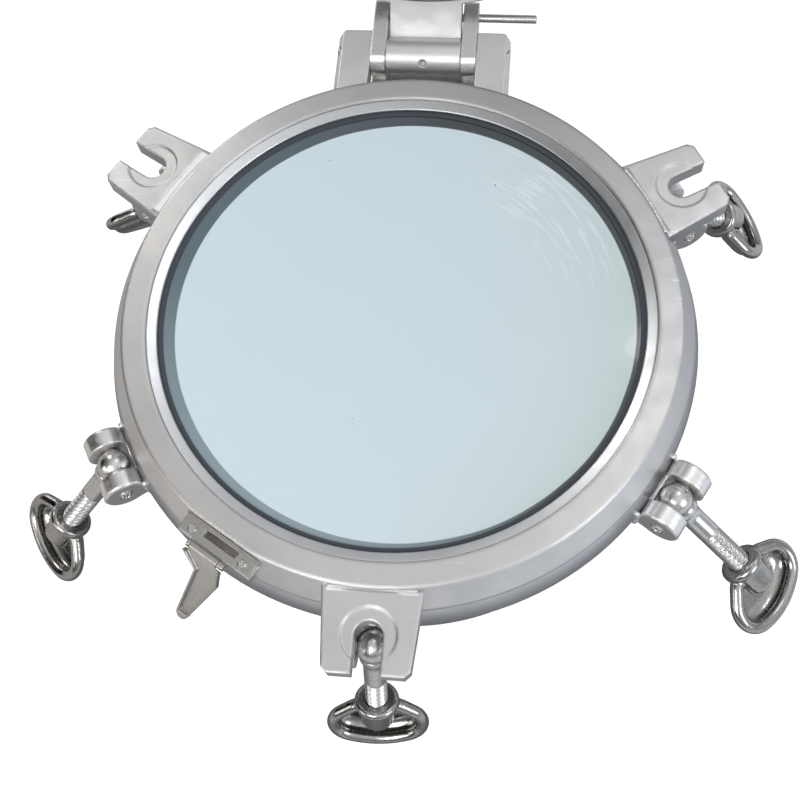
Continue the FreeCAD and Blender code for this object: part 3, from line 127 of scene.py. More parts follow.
class Graph:
    """A node tree with one short call for any node."""

    def __init__(self, tree: bpy.types.NodeTree) -> None:
        """Start from an empty tree."""
        self.tree = tree
        tree.nodes.clear()

    def node(self, kind: str, settings: dict[str, Any] | None = None,
             inputs: dict[Any, Any] | None = None, output: Any = 0) -> Socket:
        """Add a node, set it up, then fill its sockets.

        Args:
            kind: the node's type.
            settings: its properties; "stops" gives a ramp's stops.
            inputs: values or links by socket name or number.
            output: which output to give back.

        Returns:
            The chosen output.
        """
        new = self.tree.nodes.new(kind)
        for key, value in (settings or {}).items():
            if key == "stops":
                self.fill_ramp(new.color_ramp, value)
            else:
                setattr(new, key, value)
        for key, value in (inputs or {}).items():
            end = new.inputs[key]
            if isinstance(value, Socket):
                self.tree.links.new(value.end, end)
            else:
                end.default_value = value
        return Socket(self, new.outputs[output] if len(new.outputs) else None)

    @staticmethod
    def fill_ramp(ramp: bpy.types.ColorRamp, stops: Sequence[tuple[float, Colour]]) -> None:
        """Give a ramp its stops.

        Args:
            ramp: the ramp.
            stops: place and colour of each stop.
        """
        while len(ramp.elements) < len(stops):
            ramp.elements.new(1.0)
        for element, (place, colour) in zip(ramp.elements, stops):
            element.position = place
            element.color = (*colour, 1.0)

    def mix(self, factor: Number, first: Any, second: Any) -> Socket:
        """Blend two colours.

        Args:
            factor: how much of the second shows.
            first: a colour or a link.
            second: a colour or a link.

        Returns:
            The blend.
        """
        ends = [value if isinstance(value, Socket) else (*value, 1.0)
                for value in (first, second)]
        return self.node("ShaderNodeMix", {"data_type": "RGBA"},
                         {0: factor, 6: ends[0], 7: ends[1]}, 2)

    def vector(self, x: Number, y: Number, z: Number) -> Socket:
        """Join three values."""
        return self.node("ShaderNodeCombineXYZ", None, {0: x, 1: y, 2: z})

    def parts(self, vector: Socket) -> tuple[Socket, Socket, Socket]:
        """Split a vector.

        Args:
            vector: the vector.

        Returns:
            Its three values.
        """
        first = self.node("ShaderNodeSeparateXYZ", None, {0: vector})
        ends = first.end.node.outputs
        return first, Socket(self, ends[1]), Socket(self, ends[2])


# Finishes


@dataclass(frozen=True)
class Finish:
    """What every finish shares: its name, and the shader it fills."""

    name: str

    def material(self) -> bpy.types.Material:
        """The finish as a material, made once.

        Returns:
            The material with the finish's name.
        """
        found = bpy.data.materials.get(self.name)
        if found is not None:
            return found
        made = bpy.data.materials.new(self.name)
        made.use_nodes = True
        graph = Graph(made.node_tree)
        surface = self.surface(graph)
        graph.node("ShaderNodeOutputMaterial", None, {"Surface": surface})
        return made

    def surface(self, graph: Graph) -> Socket:
        """The finish's shader; each finish gives its own."""
        raise NotImplementedError

    @staticmethod
    def place(graph: Graph) -> Socket:
        """Where a point is on the part at rest, in metres."""
        return graph.node("ShaderNodeTexCoord", None, None, "Object")

    @staticmethod
    def noise(graph: Graph, where: Socket, scale: float, detail: float = 2.0,
              rough: float = 0.5) -> Socket:
        """A cloudy value about 0.5."""
        return graph.node("ShaderNodeTexNoise", None, {
            "Vector": where, "Scale": scale, "Detail": detail, "Roughness": rough})

    @staticmethod
    def bump(graph: Graph, height: Number, distance: float, strength: float,
             edge: float = 0.0) -> Socket:
        """A normal from a height, over edges that are worn round.

        Args:
            graph: the material's graph.
            height: the height, about 0 to 1.
            distance: what a height of 1 stands for, in metres.
            strength: how far it counts.
            edge: radius of the worn edges in millimetres, or 0 for sharp ones.

        Returns:
            The normal.
        """
        inputs = {"Height": height, "Distance": distance, "Strength": strength}
        if edge:
            inputs["Normal"] = graph.node("ShaderNodeBevel", {"samples": 6},
                                          {"Radius": edge * MM})
        return graph.node("ShaderNodeBump", None, inputs)

    @staticmethod
    def principled(graph: Graph, inputs: dict[str, Any]) -> Socket:
        """The shader itself."""
        return graph.node("ShaderNodeBsdfPrincipled", None, inputs)


@dataclass(frozen=True)
class CastMetal(Finish):
    """Bead-blasted or ground casting: faint clouds, grain, smudges, fine scratches and painted
    shade toward one end.

    Attributes:
        pale, deep: the two tints of the clouds.
        rough: mean roughness.
        grain, turned: strength of the blasted grain and of the turning marks.
        edge: radius of the worn edges in millimetres.
        dull: the painted shade's rise per metre along x and along y, and its share at the axis.
        shade_tint: the painted shade's tint at the darker end.
    """

    pale: Colour = (0.74, 0.725, 0.71)
    deep: Colour = (0.60, 0.60, 0.605)
    rough: float = 0.40
    grain: float = 0.35
    turned: float = 0.0
    edge: float = 1.2
    dull: Point = (0.0, 0.0, 0.0)
    shade_tint: Colour = (0.40, 0.40, 0.405)

    def surface(self, graph: Graph) -> Socket:
        """Clouds and painted shade in colour, grain and scratches in roughness and normal.

        Args:
            graph: the material's graph.

        Returns:
            The shader.
        """
        where = self.place(graph)
        x, y, z = graph.parts(where)
        clouds = self.noise(graph, where, 14.0, 4.0)
        patches = self.noise(graph, where, 60.0, 3.0)
        grain = self.noise(graph, where, 1500.0, 2.0)
        around = (x * x + y * y) ** 0.5
        rings = self.noise(graph, graph.vector(around * 900.0, x * 9.0, y * 9.0), 1.0, 2.0)
        stroke = self.noise(graph, graph.vector(x * 22.0 + y * 8.0, y * 420.0, z * 420.0), 1.0)
        scratch = stroke.band(0.69, 0.74)
        tone = (clouds.band(0.35, 0.68) * 0.7 + patches.band(0.4, 0.7) * 0.3).clamp()
        # painted shade: the colour darkens along x and y toward one end
        painted_shade = (x * self.dull[0] + y * self.dull[1] + self.dull[2]).clamp()
        colour = graph.mix(tone, self.pale, self.deep)
        colour = graph.mix(painted_shade, colour, self.shade_tint)
        colour = graph.mix(scratch * 0.35, colour, (0.86, 0.86, 0.85))
        rough = (patches - 0.5) * 0.22 + (grain - 0.5) * 0.12 + self.rough - scratch * 0.08
        height = grain * self.grain + rings * self.turned + scratch * 0.3 + patches * 0.5
        return self.principled(graph, {
            "Base Color": colour, "Metallic": 1.0, "Roughness": rough.clamp(0.05, 1.0),
            "Normal": self.bump(graph, height, 0.00012, 0.45, self.edge)})


@dataclass(frozen=True)
class PolishedMetal(Finish):
    """Polished stainless: dents and waves left by hand polishing, hairlines and dull spots.

    Attributes:
        pale, deep: the tints of clean metal and of its spots.
        rough: mean roughness.
        waves, hairlines: strength of the waves and of the hairlines.
        pitted: how dark and deep the pits are.
        edge: radius of the worn edges in millimetres.
    """

    pale: Colour = (0.66, 0.65, 0.64)
    deep: Colour = (0.42, 0.41, 0.40)
    rough: float = 0.17
    waves: float = 0.6
    hairlines: float = 0.25
    pitted: float = 0.4
    edge: float = 0.0

    def surface(self, graph: Graph) -> Socket:
        """Waves in the normal, hairlines and spots in the roughness.

        Args:
            graph: the material's graph.

        Returns:
            The shader.
        """
        where = self.place(graph)
        x, y, z = graph.parts(where)
        waves = self.noise(graph, where, 120.0, 2.0)
        spots = self.noise(graph, where, 380.0, 3.0)
        pits = self.noise(graph, where, 1400.0, 1.0).band(0.70, 0.78)
        hair = self.noise(graph, graph.vector(x * 1400.0, y * 1400.0, z * 120.0), 1.0, 1.0)
        tone = (spots.band(0.42, 0.72) * 0.55 + pits * self.pitted).clamp()
        rough = spots.band(0.45, 0.75) * 0.16 + (hair - 0.5) * 0.10 + self.rough
        height = waves * self.waves + hair * self.hairlines * 0.2 - pits * self.pitted
        return self.principled(graph, {
            "Base Color": graph.mix(tone, self.pale, self.deep), "Metallic": 1.0,
            "Roughness": rough.clamp(0.04, 1.0),
            "Normal": self.bump(graph, height, 0.0004, 0.35, self.edge)})


@dataclass(frozen=True)
class SealRubber(Finish):
    """Dark seal with chalky patches and a moulded grain."""

    dark: Colour = (0.050, 0.068, 0.082)
    chalk: Colour = (0.115, 0.145, 0.165)

    def surface(self, graph: Graph) -> Socket:
        """Chalk in the colour, grain in the normal.

        Args:
            graph: the material's graph.

        Returns:
            The shader.
        """
        where = self.place(graph)
        clouds = self.noise(graph, where, 30.0, 4.0)
        grain = self.noise(graph, where, 2200.0, 2.0)
        colour = graph.mix(clouds.band(0.42, 0.72), self.dark, self.chalk)
        return self.principled(graph, {
            "Base Color": colour, "Roughness": (clouds * 0.2 + 0.40).clamp(),
            "Normal": self.bump(graph, grain, 0.0001, 0.3)})


@dataclass(frozen=True)
class FilmedGlass(Finish):
    """Pane with a pale protective film that stops short of the edge, smudged streaks, and painted
    shade and a painted highlight.

    Attributes:
        film, film_shaded: the film's tint at the left, and its painted shade toward the lower
            right.
        edge, edge_left, edge_low: painted shade of the dark gap seen through the bare glass,
            painted lighter at the left and low down.
        shaded: painted shade, a darker crescent on the film at the right.
        highlight_and_smudge: the tint of a painted highlight in streaky strokes at the upper right,
            and of smudged streaks over the pane.
        radius, centre: the film's outline in metres.
    """

    film: Colour = (0.625, 0.755, 0.81)
    film_shaded: Colour = (0.575, 0.66, 0.695)
    edge: Colour = (0.045, 0.058, 0.062)
    edge_left: Colour = (0.13, 0.18, 0.21)
    edge_low: Colour = (0.31, 0.39, 0.43)
    shaded: Colour = (0.52, 0.605, 0.595)
    highlight_and_smudge: Colour = (0.84, 0.89, 0.91)
    radius: float = 0.1655
    centre: tuple[float, float] = (0.003, -0.0025)

    def surface(self, graph: Graph) -> Socket:
        """Film inside a circle, with painted shade and a painted highlight; outside, bare glass
        painted slate-dark with the shade of the gap behind it, paler on the left.

        Args:
            graph: the material's graph.

        Returns:
            The shader.
        """
        where = self.place(graph)
        x, y, z = graph.parts(where)
        dx, dy = x - self.centre[0], y - self.centre[1]
        away = (dx * dx + dy * dy) ** 0.5
        wavy = self.noise(graph, where, 20.0, 2.0) * 0.0012
        bare = (away + wavy).band(self.radius, self.radius + 0.0008)
        # painted shade: the film darkens toward the lower right
        across = (x * 2.6 - y * 0.6 + 0.5).clamp()
        clouds = self.noise(graph, where, 9.0, 3.0)
        streak = self.noise(graph, graph.vector(x * 8.0 + y * 14.0, y * 150.0, z), 1.0, 2.0)
        tint = graph.mix((across * 0.8 + clouds * 0.25).clamp(), self.film, self.film_shaded)
        # painted shade: a darker crescent on the film at the right
        crescent = away.band(0.100, 0.158) * (x * 6.5 - y * 1.5 - 0.25).clamp()
        tint = graph.mix(crescent, tint, self.shaded)
        # painted highlight: pale streaky strokes in an arc at the upper right of the film
        turn = dy.run("ARCTAN2", dx)
        reach = turn.band(0.20, 0.50) * (1.0 - turn.band(1.00, 1.30)) * away.band(0.100, 0.128)
        highlight_streaks = self.noise(graph, graph.vector(away * 330.0, turn * 5.0, 3.0), 1.0, 4.0)
        tint = graph.mix(highlight_streaks.band(0.50, 0.74) * reach * 0.6, tint, self.highlight_and_smudge)
        # smudged streaks over the whole pane, in the same pale tint
        tint = graph.mix(streak.band(0.66, 0.80) * 0.12, tint, self.highlight_and_smudge)
        cells = graph.node("ShaderNodeTexVoronoi", None, {"Vector": where, "Scale": 34.0})
        tint = graph.mix(1.0 - cells.band(0.022, 0.030), tint, (0.20, 0.22, 0.23))
        # painted shade: outside the film the glass shows the dark gap behind it, painted lighter on
        # the left and low down
        rim = graph.mix((x * -4.5 + y * 0.8).clamp(), self.edge, self.edge_left)
        rim = graph.mix((x * -3.0 - y * 5.5 - 0.30).clamp(), rim, self.edge_low)
        colour = graph.mix(bare, tint, rim)
        rough = (clouds * 0.10 + streak.band(0.6, 0.8) * 0.10 + 0.06).clamp()
        return self.principled(graph, {
            "Base Color": colour, "Roughness": rough, "IOR": 1.5, "Coat Weight": 0.6,
            "Coat Roughness": 0.03, "Normal": self.bump(graph, clouds, 0.0006, 0.15)})


@dataclass(frozen=True)
class StudioFloor(Finish):
    """Pale floor; what it lends to reflections is a soft grey with a painted shadow under the part.
    """

    seen: float = 0.78
    under_shadow: Colour = (0.19, 0.195, 0.205)
    warm: Colour = (0.60, 0.58, 0.56)
    cool: Colour = (0.76, 0.81, 0.87)

    def surface(self, graph: Graph) -> Socket:
        """White paper for the lens; for the metal to mirror, a grey with a painted shadow under the
        part, warm on the left and cool on the right.

        Args:
            graph: the material's graph.

        Returns:
            The shader.
        """
        white = graph.node("ShaderNodeEmission", None, {
            "Color": (1.0, 1.0, 1.0, 1.0), "Strength": self.seen})
        paper = graph.node("ShaderNodeBsdfDiffuse", None, {"Color": (0.55, 0.55, 0.55, 1.0)})
        direct = graph.node("ShaderNodeAddShader", None, {0: white, 1: paper})
        x, y, _ = graph.parts(self.place(graph))
        # painted shadow: what the floor lends to reflections darkens under the part; it is warm on
        # the left and cool on the right
        away = ((x * x + y * y) ** 0.5).band(0.33, 0.46)
        side = (x + 0.5).clamp()
        grey = graph.mix(away, self.under_shadow, graph.mix(side, self.warm, self.cool))
        lent = graph.node("ShaderNodeEmission", None, {"Color": grey, "Strength": 1.0})
        eye = graph.node("ShaderNodeLightPath", None, None, "Is Camera Ray")
        return graph.node("ShaderNodeMixShader", None, {0: eye, 1: lent, 2: direct})


# The holder, lug, cover and ring finishes below carry painted shade that darkens them toward the
# hinge side.
CASTING = CastMetal("satin_casting", turned=0.25, edge=4.0, dull=(2.2, 2.6, 0.0))
LUG_CASTING = CastMetal("lug_casting", grain=0.3, edge=2.6, dull=(0.0, 3.0, 0.0))
EAR_CASTING = CastMetal("ear_casting", pale=(0.84, 0.825, 0.815), deep=(0.72, 0.715, 0.71),
                        grain=0.3, edge=1.2)
FACE_RING = CastMetal("frame_casting", pale=(0.64, 0.64, 0.65), deep=(0.50, 0.51, 0.53),
                      rough=0.36, grain=0.5, turned=0.3)
COVER_CASTING = CastMetal("cover_casting", pale=(0.74, 0.74, 0.745), deep=(0.62, 0.625, 0.63),
                          rough=0.46, grain=0.6, edge=1.6, dull=(0.0, 40.0, -9.7),
                          shade_tint=(0.34, 0.34, 0.345))
LUG_STEEL = PolishedMetal("ground_ear", pale=(0.86, 0.85, 0.835), deep=(0.72, 0.715, 0.70),
                          rough=0.29, waves=0.22, hairlines=0.3, pitted=0.08, edge=2.2)
RING_STEEL = CastMetal("bright_ring", pale=(0.84, 0.85, 0.86), deep=(0.74, 0.755, 0.77),
                       rough=0.36, grain=0.05, turned=0.1, edge=1.0, dull=(1.2, 3.2, 0.0),
                       shade_tint=(0.25, 0.26, 0.265))
ROD_STEEL = PolishedMetal("turned_rod", pale=(0.66, 0.65, 0.64), deep=(0.50, 0.49, 0.48),
                          rough=0.24, waves=0.14, hairlines=0.25, pitted=0.08)
NUT_STEEL = PolishedMetal("polished_casting", pale=(0.44, 0.43, 0.415), deep=(0.28, 0.27, 0.26),
                          rough=0.17, waves=0.8, pitted=0.25)
SHEET_STEEL = PolishedMetal("dull_sheet", pale=(0.50, 0.49, 0.465), deep=(0.33, 0.32, 0.30),
                            rough=0.33, waves=0.3, hairlines=0.6, pitted=0.15, edge=1.0)
# painted shade: a near-black finish for the strip that stands for the shade in the latch window
SHADE_LEAF_STEEL = PolishedMetal("shade_leaf", pale=(0.20, 0.19, 0.17), deep=(0.10, 0.095, 0.085),
                           rough=0.36, waves=0.5)
WELD = PolishedMetal("weld_bead", pale=(0.82, 0.81, 0.80), deep=(0.60, 0.60, 0.60), rough=0.34)
GROUND_BAND = CastMetal("ground_band", pale=(1.0, 0.99, 0.985), deep=(0.96, 0.95, 0.95),
                        rough=0.55, grain=0.1, edge=0.8)
RUBBER = SealRubber("seal_rubber")
PALE_RUBBER = SealRubber("pale_seal", dark=(0.24, 0.245, 0.25), chalk=(0.36, 0.365, 0.37))
PANE = FilmedGlass("filmed_glass")


# Meshes


def add_object(name: str, mesh: bpy.types.Mesh) -> bpy.types.Object:
    """Put a mesh into the scene as an object at the origin.

    Args:
        name: the object's name.
        mesh: its mesh.

    Returns:
        The object.
    """
    item = bpy.data.objects.new(name, mesh)
    bpy.context.scene.collection.objects.link(item)
    return item


def finished(item: bpy.types.Object, name: str | None = None) -> bpy.types.Object:
    """Turn an object's live modifiers into a plain mesh.

    Args:
        item: the object with modifiers.
        name: the new object's name, or None to keep the old one.

    Returns:
        A new object with the result; the old one is gone.
    """
    bpy.context.view_layer.update()
    graph = bpy.context.evaluated_depsgraph_get()
    mesh = bpy.data.meshes.new_from_object(item.evaluated_get(graph), depsgraph=graph)
    label = name or item.name
    bpy.data.objects.remove(item)
    mesh.name = label
    return add_object(label, mesh)


def dress(item: bpy.types.Object, finish: Finish, body: str, slot: str,
          *nodes: str) -> bpy.types.Object:
    """Give a piece its finish and its body.

    Args:
        item: the piece.
        finish: its finish.
        body: the body it rides on.
        slot: the record's material slot; not used.
        nodes: the nodes that it stands for.

    Returns:
        The piece.
    """
    item.data.materials.clear()
    item.data.materials.append(finish.material())
    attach(item, body)
    if nodes:
        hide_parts(*nodes)
    log.info("%s: %d faces on %s", item.name, len(item.data.polygons), body)
    return item


def node_copy(node: str, name: str) -> bpy.types.Object:
    """A copy of a node's mesh with its points joined and its flats made whole.

    Args:
        node: the node.
        name: the copy's name.

    Returns:
        The new object.
    """
    mesh = bpy.data.meshes.new(name)
    work = bmesh.new()
    work.from_mesh(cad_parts[node].data)
    bmesh.ops.remove_doubles(work, verts=work.verts, dist=0.002 * MM)
    bmesh.ops.dissolve_limit(work, angle_limit=math.radians(0.6), verts=work.verts,
                             edges=work.edges)
    work.to_mesh(mesh)
    work.free()
    return add_object(name, mesh)


def soften(item: bpy.types.Object, width: float, segments: int = 3,
           angle: float = 28.0) -> bpy.types.Object:
    """Round an object's edges as a casting's or a deburred part's are.

    Args:
        item: the object.
        width: the rounding in millimetres.
        segments: steps across it.
        angle: edges sharper than this in degrees are rounded.

    Returns:
        The rounded object as a plain mesh.
    """
    bevel = item.modifiers.new("Rounding", "BEVEL")
    bevel.width = width * MM
    bevel.segments = segments
    bevel.limit_method = "ANGLE"
    bevel.angle_limit = math.radians(angle)
    bevel.harden_normals = False
    even = item.modifiers.new("Even", "WEIGHTED_NORMAL")
    even.keep_sharp = True
    item.data.polygons.foreach_set("use_smooth", [True] * len(item.data.polygons))
    return finished(item)


def worn(node: str, name: str, finish: Finish, body: str, slot: str, width: float,
         segments: int = 3) -> None:
    """Round a node's own mesh at its edges and dress it as the piece that stands for it.

    Args:
        node: the node.
        name: the piece's name.
        finish: its finish.
        body: the body it rides on.
        slot: the record's material slot.
        width: the rounding in millimetres.
        segments: steps across the rounding.
    """
    dress(soften(node_copy(node, name), width, segments), finish, body, slot, node)


def wrap(work: bmesh.types.BMesh, rings: Sequence[Sequence[bmesh.types.BMVert]],
         capped: bool = True) -> None:
    """Add the faces between each ring of points and the next.

    Args:
        work: the mesh that holds the points.
        rings: rings with the same number of points.
        capped: whether the first and the last ring get a face.
    """
    for low, high in zip(rings, rings[1:]):
        for step in range(len(low)):
            after = (step + 1) % len(low)
            work.faces.new((low[step], low[after], high[after], high[step]))
    if capped:
        work.faces.new(rings[0][::-1])
        work.faces.new(rings[-1])


def taken(work: bmesh.types.BMesh, name: str) -> bpy.types.Object:
    """An edited mesh as an object, its faces turned outward.

    Args:
        work: the edited mesh, which is freed.
        name: the object's name.

    Returns:
        The new object.
    """
    bmesh.ops.recalc_face_normals(work, faces=work.faces)
    mesh = bpy.data.meshes.new(name)
    work.to_mesh(mesh)
    work.free()
    return add_object(name, mesh)


def lathe(name: str, profile: Sequence[tuple[float, float]], steps: int = 64) -> bpy.types.Object:
    """A solid turned about the x axis.

    Args:
        name: the object's name.
        profile: corners (place, radius) in millimetres, from end to end.
        steps: faces round it.

    Returns:
        The new object.
    """
    work = bmesh.new()
    rings = []
    turns = [2 * math.pi * step / steps for step in range(steps)]
    for place, radius in profile:
        rings.append([work.verts.new((place * MM, radius * MM * math.cos(turn),
                                      radius * MM * math.sin(turn))) for turn in turns])
    wrap(work, rings)
    bmesh.ops.remove_doubles(work, verts=work.verts, dist=0.001 * MM)
    for face in work.faces:
        face.smooth = True
    return taken(work, name)


def smooth_by_angle(item: bpy.types.Object, angle: float = 35.0) -> None:
    """Shade an object smooth, but for its sharp edges.

    Args:
        item: the object.
        angle: edges sharper than this in degrees stay sharp.
    """
    work = bmesh.new()
    work.from_mesh(item.data)
    limit = math.radians(angle)
    for face in work.faces:
        face.smooth = True
    for edge in work.edges:
        edge.smooth = not (edge.is_manifold and edge.calc_face_angle(0.0) > limit)
    work.to_mesh(item.data)
    work.free()


def join(name: str, items: Sequence[bpy.types.Object]) -> bpy.types.Object:
    """Several objects as one mesh.

    Args:
        name: the new object's name.
        items: the objects; they are removed.

    Returns:
        The joined object.
    """
    work = bmesh.new()
    for item in items:
        work.from_mesh(item.data)
        bpy.data.objects.remove(item)
    mesh = bpy.data.meshes.new(name)
    work.to_mesh(mesh)
    work.free()
    return add_object(name, mesh)


def united(name: str, first: bpy.types.Object, second: bpy.types.Object) -> bpy.types.Object:
    """Two closed solids made one, with nothing left inside.

    Args:
        name: the new object's name.
        first: one solid, which is removed.
        second: the other, which is removed too.

    Returns:
        The whole.
    """
    tool = first.modifiers.new("Union", "BOOLEAN")
    tool.operation = "UNION"
    tool.solver = "EXACT"
    tool.object = second
    whole = finished(first, name)
    bpy.data.objects.remove(second)
    return whole


# Geometry node trees


class ShapeTree:
    """A geometry node tree with named inputs."""

    def __init__(self, name: str, inputs: Sequence[tuple[str, str, float]]) -> None:
        """Make the tree and its inputs.

        Args:
            name: the tree's name.
            inputs: name, "Float" or "Int", and value of each input.
        """
        self.tree = bpy.data.node_groups.new(name, "GeometryNodeTree")
        self.graph = Graph(self.tree)
        for way in ("OUTPUT", "INPUT"):
            self.tree.interface.new_socket("Geometry", in_out=way,
                                           socket_type="NodeSocketGeometry")
        self.keys = {}
        for label, kind, value in inputs:
            socket = self.tree.interface.new_socket(label, in_out="INPUT",
                                                    socket_type="NodeSocket" + kind)
            socket.default_value = int(value) if kind == "Int" else value
            self.keys[label] = socket.identifier
        self.source = self.tree.nodes.new("NodeGroupInput")

    def value(self, label: str) -> Socket:
        """One named input."""
        return Socket(self.graph, self.source.outputs[label])

    def close(self, shape: Socket, finish: Finish) -> None:
        """Realize what was made, give it its finish and end the tree.

        Args:
            shape: what was made.
            finish: its finish.
        """
        real = self.graph.node("GeometryNodeRealizeInstances", None, {0: shape})
        dressed = self.graph.node("GeometryNodeSetMaterial", None, {
            "Geometry": real, "Material": finish.material()})
        end = self.tree.nodes.new("NodeGroupOutput")
        self.tree.links.new(dressed.end, end.inputs[0])

    def make(self, name: str, mesh: bpy.types.Mesh, **values: float) -> bpy.types.Object:
        """Run the tree on a mesh with the given inputs.

        Args:
            name: the result's name.
            mesh: what the tree works on.
            values: inputs by name, with spaces as underscores.

        Returns:
            The result as a plain mesh.
        """
        item = add_object(name, mesh)
        work = item.modifiers.new("Shape", "NODES")
        work.node_group = self.tree
        for label, value in values.items():
            work[self.keys[label.replace("_", " ")]] = value
        return finished(item)


def thread_tree() -> ShapeTree:
    """Screw-threaded rod along x: a rolled-up grid whose radius follows the thread.

    Returns:
        The tree, with the rod's sizes in metres as its inputs.
    """
    shape = ShapeTree("threaded_rod", (
        ("Length", "Float", 0.08), ("Radius", "Float", 0.008), ("Chamfer", "Float", 0.0015),
        ("Start", "Float", 0.045), ("Pitch", "Float", 0.002), ("Depth", "Float", 0.0009),
        ("Rows", "Int", 260), ("Columns", "Int", 41)))
    graph = shape.graph
    length, radius = shape.value("Length"), shape.value("Radius")
    grid = graph.node("GeometryNodeMeshGrid", None, {
        "Size X": 1.0, "Size Y": 1.0, "Vertices X": shape.value("Rows"),
        "Vertices Y": shape.value("Columns")})
    across, along_turn, _ = graph.parts(graph.node("GeometryNodeInputPosition"))
    margin = 0.012
    along = (across + 0.5) * (1.0 + 2.0 * margin) - margin
    place = along.clamp() * length
    over = (0.0 - along).run("MAXIMUM", along - 1.0).run("MAXIMUM", 0.0) / margin
    turn = along_turn + 0.5
    wave = (place / shape.value("Pitch") - turn).run("FRACT")
    valley = ((wave - 0.5).run("ABSOLUTE") * 2.4 - 0.2).clamp()
    run_out = ((place - shape.value("Start")) / shape.value("Pitch")).clamp()
    hull = (length - place + radius - shape.value("Chamfer")).run("MINIMUM", radius)
    reach = (hull - valley * run_out * shape.value("Depth")) * (1.0 - over).clamp()
    angle = turn * (2.0 * math.pi)
    where = graph.vector(place, reach * angle.run("COSINE"), reach * angle.run("SINE"))
    rolled = graph.node("GeometryNodeSetPosition", None, {"Geometry": grid, "Position": where})
    sewn = graph.node("GeometryNodeMergeByDistance", None, {"Geometry": rolled,
                                                            "Distance": 0.000002})
    shaded = graph.node("GeometryNodeSetShadeSmooth", None, {"Geometry": sewn})
    shape.close(shaded, ROD_STEEL)
    return shape


def bead_tree() -> ShapeTree:
    """Weld bead: overlapping drops along a line of edges.

    Returns:
        The tree, with the bead's sizes in metres as its inputs.
    """
    shape = ShapeTree("weld_bead_run", (
        ("Radius", "Float", 0.0022), ("Step", "Float", 0.0013), ("Seed", "Int", 3)))
    graph = shape.graph
    line = graph.node("GeometryNodeMeshToCurve", None, {0: shape.value("Geometry")})
    points = graph.node("GeometryNodeResampleCurve", {"mode": "LENGTH"},
                        {"Curve": line, "Length": shape.value("Step")})
    drop = graph.node("GeometryNodeMeshIcoSphere", None, {
        "Radius": shape.value("Radius"), "Subdivisions": 3})
    size = graph.node("FunctionNodeRandomValue", {"data_type": "FLOAT"}, {
        2: 0.82, 3: 1.08, "Seed": shape.value("Seed")}, 1)
    placed = graph.node("GeometryNodeInstanceOnPoints", None, {
        "Points": points, "Instance": drop, "Scale": size})
    shape.close(placed, WELD)
    return shape


def rivet_tree() -> ShapeTree:
    """Staked pin end: a ring of uneven lumps round the x axis.

    Returns:
        The tree, with the lumps' sizes in metres as its inputs.
    """
    shape = ShapeTree("staked_end", (
        ("Ring", "Float", 0.0027), ("Lump", "Float", 0.0014), ("Count", "Int", 6),
        ("Seed", "Int", 1)))
    graph = shape.graph
    circle = graph.node("GeometryNodeMeshCircle", None, {
        "Vertices": shape.value("Count"), "Radius": shape.value("Ring")})
    lump = graph.node("GeometryNodeMeshIcoSphere", None, {
        "Radius": shape.value("Lump"), "Subdivisions": 3})
    size = graph.node("FunctionNodeRandomValue", {"data_type": "FLOAT_VECTOR"}, {
        0: (0.65, 0.65, 0.5), 1: (1.15, 1.15, 0.85), "Seed": shape.value("Seed")})
    placed = graph.node("GeometryNodeInstanceOnPoints", None, {
        "Points": circle, "Instance": lump, "Scale": size})
    turned = graph.node("GeometryNodeTransform", None, {
        "Geometry": placed, "Rotation": (0.0, math.pi / 2, 0.0)})
    shape.close(turned, ROD_STEEL)
    return shape


# Sub-assemblies


